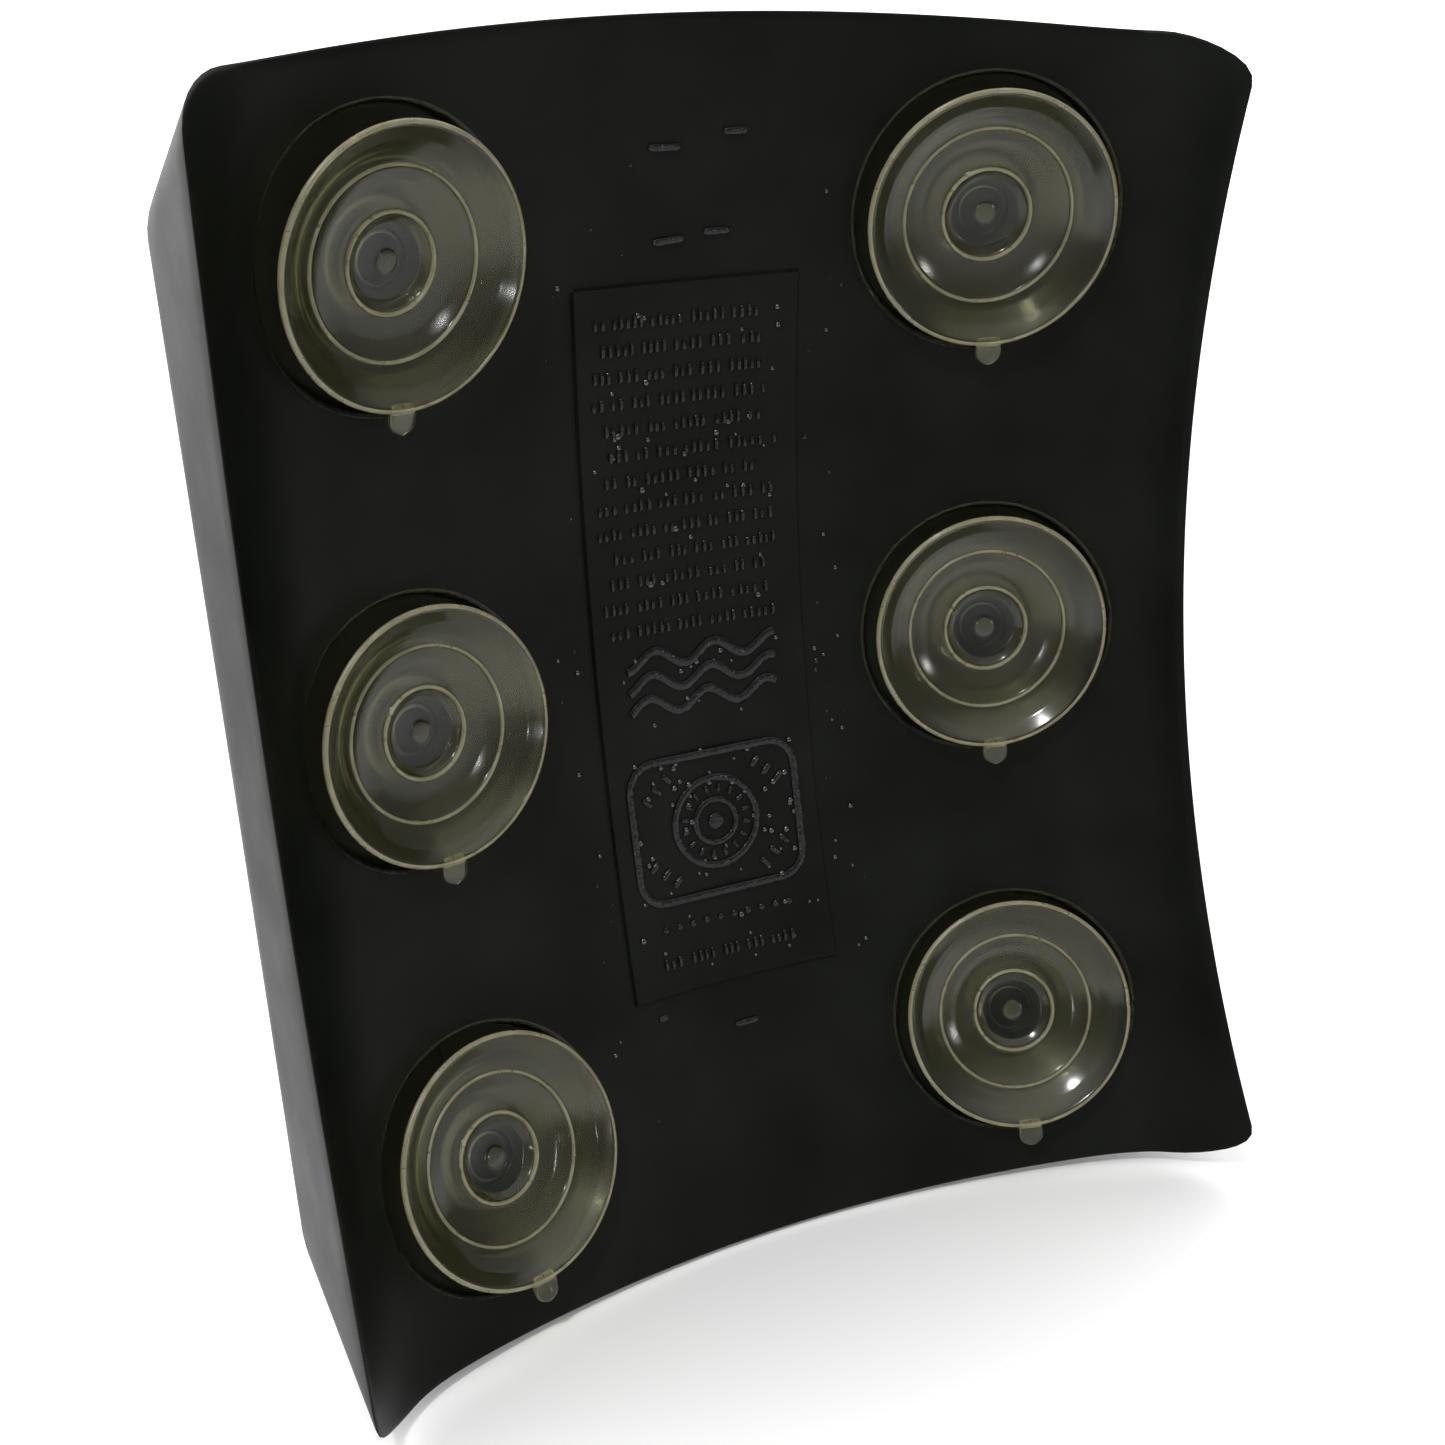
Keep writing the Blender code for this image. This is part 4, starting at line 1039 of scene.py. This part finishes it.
def make_cups():
    profile = rounded(cup_section(), 0.3 * MM, 3)
    pattern = solid_from("cup_pattern", lambda bm: revolve(bm, profile, 120))
    cut(pattern, solid_from("tab", cup_tab), "UNION")
    dress_cup(pattern.data)
    smooth(pattern.data, 50)
    for (row, side), (centre, across, up, outward) in CUPS.items():
        cup = add_object(f"clear_cup_{row}_{side}", pattern.data)
        turn = Matrix((across, up, outward)).transposed().to_4x4()
        cup.matrix_world = Matrix.Translation(centre) @ turn
        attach(cup, f"cup_{row}_{side}")
        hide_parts(f"suction_cup_{row}_{side}")
    bpy.data.objects.remove(pattern, do_unlink=True)


# ---- front cover, screws, dial, lamp and gland ----


COVER_MIDDLE = 2.5 * MM
COVER_HALF_WIDTH = 71 * MM
COVER_HALF_HEIGHT = 84.5 * MM
COVER_CORNER = 9 * MM
RIB_COUNT = 9
RIB_PITCH = 12 * MM
RIB_WIDTH = 2.4 * MM
RIB_HEIGHT = 1.6 * MM
RIB_TOP = 26 * MM
RIB_BOTTOM = -64 * MM
DIAL_Z = 60 * MM
LAMP = (36 * MM, 62 * MM)
SOFT_EDGE = ((0.9, 0.0), (0.35, 0.12), (0.08, 0.4), (0.0, 0.9), (0.0, 1.15))


def stack(bm, outline_at, levels):
    """Closed slab along +Y: outline_at(shrink) at each level's y, with both ends fanned to their middles."""
    rings = [[Vector((x, y, z)) for x, z in outline_at(shrink)] for y, shrink in levels]
    middles = [sum(ring, Vector()) / len(ring) for ring in (rings[0], rings[-1])]
    add_rings(bm, rings, *middles)


def soft_levels(low, high, edge):
    """Levels of a slab whose far edge is rounded by the given size."""
    return [(low, 0.0)] + [(high - edge * drop, edge * shrink) for drop, shrink in SOFT_EDGE]


def add_bar(bm, x, z, length, width, turn, low, high, edge):
    """Bar with round ends that rises along +Y from low to high, with its far edge rounded."""
    levels = soft_levels(low, high, edge)
    stack(bm, lambda d: pill_outline(x, z, length - 2 * d, width - 2 * d, turn), levels)


def screw_axes():
    boxes = [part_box(f"cover_screw_{i}") for i in range(1, 9)]
    return [((low.x + high.x) / 2, (low.z + high.z) / 2) for low, high in boxes]


def add_ribs(bm):
    middle = (RIB_TOP + RIB_BOTTOM) / 2
    for i in range(RIB_COUNT):
        x = (i - (RIB_COUNT - 1) / 2) * RIB_PITCH
        ends = (FRONT_Y - MM, FRONT_Y + RIB_HEIGHT)
        add_bar(bm, x, middle, RIB_TOP - RIB_BOTTOM, RIB_WIDTH, pi / 2, *ends, 0.8 * MM)


def add_ticks(bm):
    """Scale round the dial: eleven ticks that grow wider, every fifth one longer."""
    for k in range(11):
        angle = radians(225 - 27 * k)
        reach = (16.6 if k % 5 else 17.2) * MM
        length = (2.4 if k % 5 else 3.6) * MM
        width = (0.8 + 0.07 * k) * MM
        x, z = reach * cos(angle), DIAL_Z + reach * sin(angle)
        add_bar(bm, x, z, length, width, angle, FRONT_Y - MM, FRONT_Y + 0.6 * MM, 0.25 * MM)


def add_holes(bm):
    places = [(x, z, 1.8 * MM) for x, z in screw_axes()]
    places += [(0, DIAL_Z, 3.5 * MM), (*LAMP, 3.5 * MM)]
    for x, z, radius in places:
        cylinder_between(bm, radius, (x, FRONT_Y - 5 * MM, z), (x, FRONT_Y + 2 * MM, z), 40)


def make_cover():
    def outline(d):
        size = (COVER_HALF_WIDTH - d, COVER_HALF_HEIGHT - d, COVER_CORNER - d)
        return rounded_frame(0, COVER_MIDDLE, *size, 10)

    bm = bmesh.new()
    stack(bm, outline, soft_levels(FRONT_Y - COVER_THICKNESS, FRONT_Y, 0.8 * MM))
    cover = finish_object("ribbed_cover", bm, BLACK_GRAINED, 35)
    cut(cover, solid_from("ribs", add_ribs), "UNION")
    cut(cover, solid_from("ticks", add_ticks), "UNION")
    cut(cover, solid_from("cover_holes", add_holes))
    smooth(cover.data, 35)
    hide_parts("front_cover")


FACING_FRONT = Matrix.Rotation(radians(-90), 4, "X")


def add_slot(bm, turn):
    """One arm of a screw's cross recess, narrower at its bottom."""
    low, high = 0.6 * MM, 2.5 * MM
    rings = []
    for height, length, width in ((low, 2.2 * MM, 0.6 * MM), (high, 3.6 * MM, 0.95 * MM)):
        rings.append([(x, y, height) for x, y in pill_outline(0, 0, length, width, turn)])
    add_rings(bm, rings, (0, 0, low), (0, 0, high))


def make_screws():
    """Pan-head screws with a cross recess."""
    head = [(0, 1.8), (1.2, 1.76), (2.1, 1.5), (2.7, 1.0), (2.9, 0.5), (2.85, 0.0), (1.5, 0.0)]
    shank = [(1.5, -10.6), (0.9, -11.5), (0, -12)]
    pattern = solid_from("screw_pattern", lambda bm: revolve(bm, in_mm(head + shank), 48))
    for turn in (0, pi / 2):
        cut(pattern, solid_from("slot", lambda bm: add_slot(bm, turn)))
    pattern.data.materials.append(STEEL)
    smooth(pattern.data, 40)
    for i, (x, z) in enumerate(screw_axes(), start=1):
        screw = add_object(f"cross_head_screw_{i}", pattern.data)
        turn = Matrix.Rotation(radians(37 * i), 4, "Z")
        screw.matrix_world = Matrix.Translation((x, FRONT_Y + 0.3 * MM, z)) @ FACING_FRONT @ turn
        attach(screw, "housing")
        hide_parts(f"cover_screw_{i}")
    bpy.data.objects.remove(pattern, do_unlink=True)


KNOB_FLUTES = 18


def make_knob():
    """Fluted dial knob with a skirt, a dished top and a raised pointer, hollow for the shaft below."""
    base = Vector((0, FRONT_Y + 2 * MM, DIAL_Z))
    bore = [(3.3, 5.0, 0), (3.3, 0.0, 0)]
    skirt = [(11.6, 0.0, 0), (12.0, 0.4, 0), (12.0, 1.1, 0), (11.7, 1.5, 0)]
    grip = [(11.0, 1.7, 0.2), (10.8, 2.4, 1), (10.6, 6.2, 1), (10.4, 6.9, 0.8), (10.0, 7.5, 0.5)]
    top = [(9.4, 7.9, 0.2), (8.7, 8.0, 0), (8.0, 7.7, 0), (3.0, 7.4, 0)]
    rings = []
    for radius, height, depth in bore + skirt + grip + top:
        ring = []
        for angle in turns(8 * KNOB_FLUTES):
            flute = 0.55 * depth * (0.5 + 0.5 * cos(KNOB_FLUTES * angle)) ** 2
            reach = (radius - flute) * MM
            ring.append(base + Vector((reach * sin(angle), height * MM, reach * cos(angle))))
        rings.append(ring)
    bm = bmesh.new()
    add_rings(bm, rings, base + Vector((0, 5.0 * MM, 0)), base + Vector((0, 7.4 * MM, 0)))
    knob = finish_object("fluted_knob", bm, GREY, 35, "dial")
    low, high = base.y + 6.5 * MM, base.y + 9 * MM
    pointer = (0, DIAL_Z + 5.4 * MM, 6.6 * MM, 1.8 * MM, pi / 2, low, high, 0.6 * MM)
    cut(knob, solid_from("pointer", lambda bm: add_bar(bm, *pointer)), "UNION")
    smooth(knob.data, 35)
    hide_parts("dial_knob")


def make_lens():
    profile = [(0, 1.5), (1.4, 1.4), (2.8, 1.05), (3.8, 0.6), (4.2, 0.4), (4.2, 0.3)]
    profile += [(3.2, 0.3), (3.2, -2.8), (3.0, -3.0), (0, -3.0)]
    bm = bmesh.new()
    turn = Matrix.Translation((LAMP[0], FRONT_Y, LAMP[1])) @ FACING_FRONT
    revolve(bm, in_mm(profile), 48, turn)
    lens = finish_object("domed_lens", bm, LENS, 35)
    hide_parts("indicator_lens")


def hollow_turned(name, profile, steps, ripple, sharp_angle):
    """Grey part of the gland, turned from a closed profile off its axis; ripple is added to the radius."""
    x, y = gland_centre()
    rings = []
    for radius, height in profile:
        reaches = [(radius + ripple(radius, height, a), a) for a in turns(steps)]
        rings.append([(x + reach * cos(a), y + reach * sin(a), height) for reach, a in reaches])
    bm = bmesh.new()
    add_rings(bm, rings + rings[:1])
    merge(bm)
    return finish_object(name, bm, GREY, sharp_angle)


def make_gland_nut():
    """Dome nut with grip ribs round its lower part."""
    low, high = (corner.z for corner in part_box("gland_nut"))
    tall = high - low
    shape = [(5.3, 0.0), (7.2, 0.0), (7.5, 0.05), (7.5, 0.5), (7.3, 0.62), (6.4, 0.8), (5.2, 0.94)]
    shape += [(4.4, 1.0), (3.7, 1.0), (3.4, 0.96), (3.4, 0.57), (5.3, 0.57)]

    def grip(radius, height, angle):
        low_part = radius > 7 * MM and height < low + 0.6 * tall
        return -0.5 * MM * max(0.0, cos(14 * angle)) ** 3 if low_part else 0.0

    profile = [(radius * MM, low + share * tall) for radius, share in shape]
    nut = hollow_turned("dome_nut", profile, 168, grip, 35)
    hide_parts("gland_nut")


def make_gland_body():
    """Tube with a chamfered hexagon."""
    low, high = (corner.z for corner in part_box("gland_body"))
    under, over = GLAND_SEAT_Z + 0.3 * MM, GLAND_SEAT_Z + 3 * MM
    end, edge = 0.3 * MM, 0.5 * MM
    tube = [(3.6, low), (4.8, low), (5.0, low + end), (5.0, under), (7.6, under), (8.4, under + edge)]
    tube += [(8.4, over - edge), (7.6, over), (5.0, over), (5.0, high - end), (4.8, high), (3.6, high)]

    def hexagon(radius, height, angle):
        flat = 7.3 * MM / cos((angle + pi / 6) % (pi / 3) - pi / 6)
        return min(flat, radius) - radius if radius > 6 * MM else 0.0

    body = hollow_turned("hexagon_tube", [(r * MM, z) for r, z in tube], 96, hexagon, 30)
    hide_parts("gland_body")


# ---- stage, lights and camera ----


def make_stage():
    """Pale floor, greyer in front of the cups, which would mirror a white one."""
    bpy.ops.mesh.primitive_plane_add(size=12, location=(0, 0, cad_low.z - 0.2 * MM))
    floor = bpy.context.object
    floor.name = "floor"
    shader = Shader("pale_floor", (0.9, 0.9, 0.9), 0.9, specular=0.1)
    parts = shader.node("ShaderNodeSeparateXYZ")
    shader.link(shader.place, parts.inputs["Vector"])
    grey = map_range(shader.tree, parts.outputs["Y"], -0.55, -0.08, 0.2, 0.96)
    shader.link(grey.outputs["Result"], shader.surface.inputs["Base Color"])
    floor.data.materials.append(shader.material)


def make_world():
    """White surroundings in plain display colours: dimmer where the cups face, brighter overhead."""
    bpy.context.scene.view_settings.view_transform = "Standard"
    world = bpy.data.worlds.new("studio")
    bpy.context.scene.world = world
    world.use_nodes = True
    tree = world.node_tree
    background = tree.nodes["Background"]
    background.inputs["Color"].default_value = (1, 1, 1, 1)
    kinds = ("ShaderNodeTexCoord", "ShaderNodeSeparateXYZ", "ShaderNodeMath")
    direction, parts, total = (tree.nodes.new(kind) for kind in kinds)
    tree.links.new(direction.outputs["Generated"], parts.inputs["Vector"])
    for k, (axis, *ends) in enumerate((("Y", -0.25, 0.5, 0.24, 1.9), ("Z", 0.3, 0.9, 0.0, 1.0))):
        level = map_range(tree, parts.outputs[axis], *ends)
        level.interpolation_type = "SMOOTHSTEP"
        tree.links.new(level.outputs["Result"], total.inputs[k])
    tree.links.new(total.outputs["Value"], background.inputs["Strength"])


def area_light(name, place, target, size, power):
    data = bpy.data.lights.new(name, "AREA")
    data.shape = "RECTANGLE"
    data.size, data.size_y = size
    data.energy = power
    light = add_object(name, data)
    light.visible_camera = False
    light.location = place
    light.rotation_euler = (Vector(target) - Vector(place)).to_track_quat("-Z", "Y").to_euler()


def make_lights():
    """A small key light from the upper left, and two small low lights that the cups reflect."""
    area_light("key", (-0.5, -0.7, 0.9), (0, 0, 0), (0.08, 0.08), 5.5)
    area_light("low_right", (0.253, -0.523, -0.018), (-0.055, 0, 0.05), (0.04, 0.04), 0.12)
    area_light("low_left", (-0.18, -0.558, -0.025), (0.055, 0, 0.05), (0.04, 0.04), 0.12)


def make_camera():
    place = Vector((-0.1286, -0.3004, 0.0801))
    forward = Vector((0.3887, 0.8811, -0.2696)).normalized()
    up = Vector((0.1796, 0.2145, 0.9601))
    right = forward.cross(up).normalized()
    up = right.cross(forward)
    data = bpy.data.cameras.new("camera")
    data.sensor_width = 36
    data.lens = 44.84
    data.clip_start = 0.01
    camera = add_object("camera", data)
    turn = Matrix((right, up, -forward)).transposed().to_4x4()
    camera.matrix_world = Matrix.Translation(place) @ turn
    bpy.context.scene.camera = camera


dress_cad_nodes()
make_housing()
make_cups()
make_label_relief()
make_mould_marks()
make_beads()
make_cover()
make_screws()
make_knob()
make_lens()
make_gland_nut()
make_gland_body()
make_stage()
make_world()
make_lights()
make_camera()
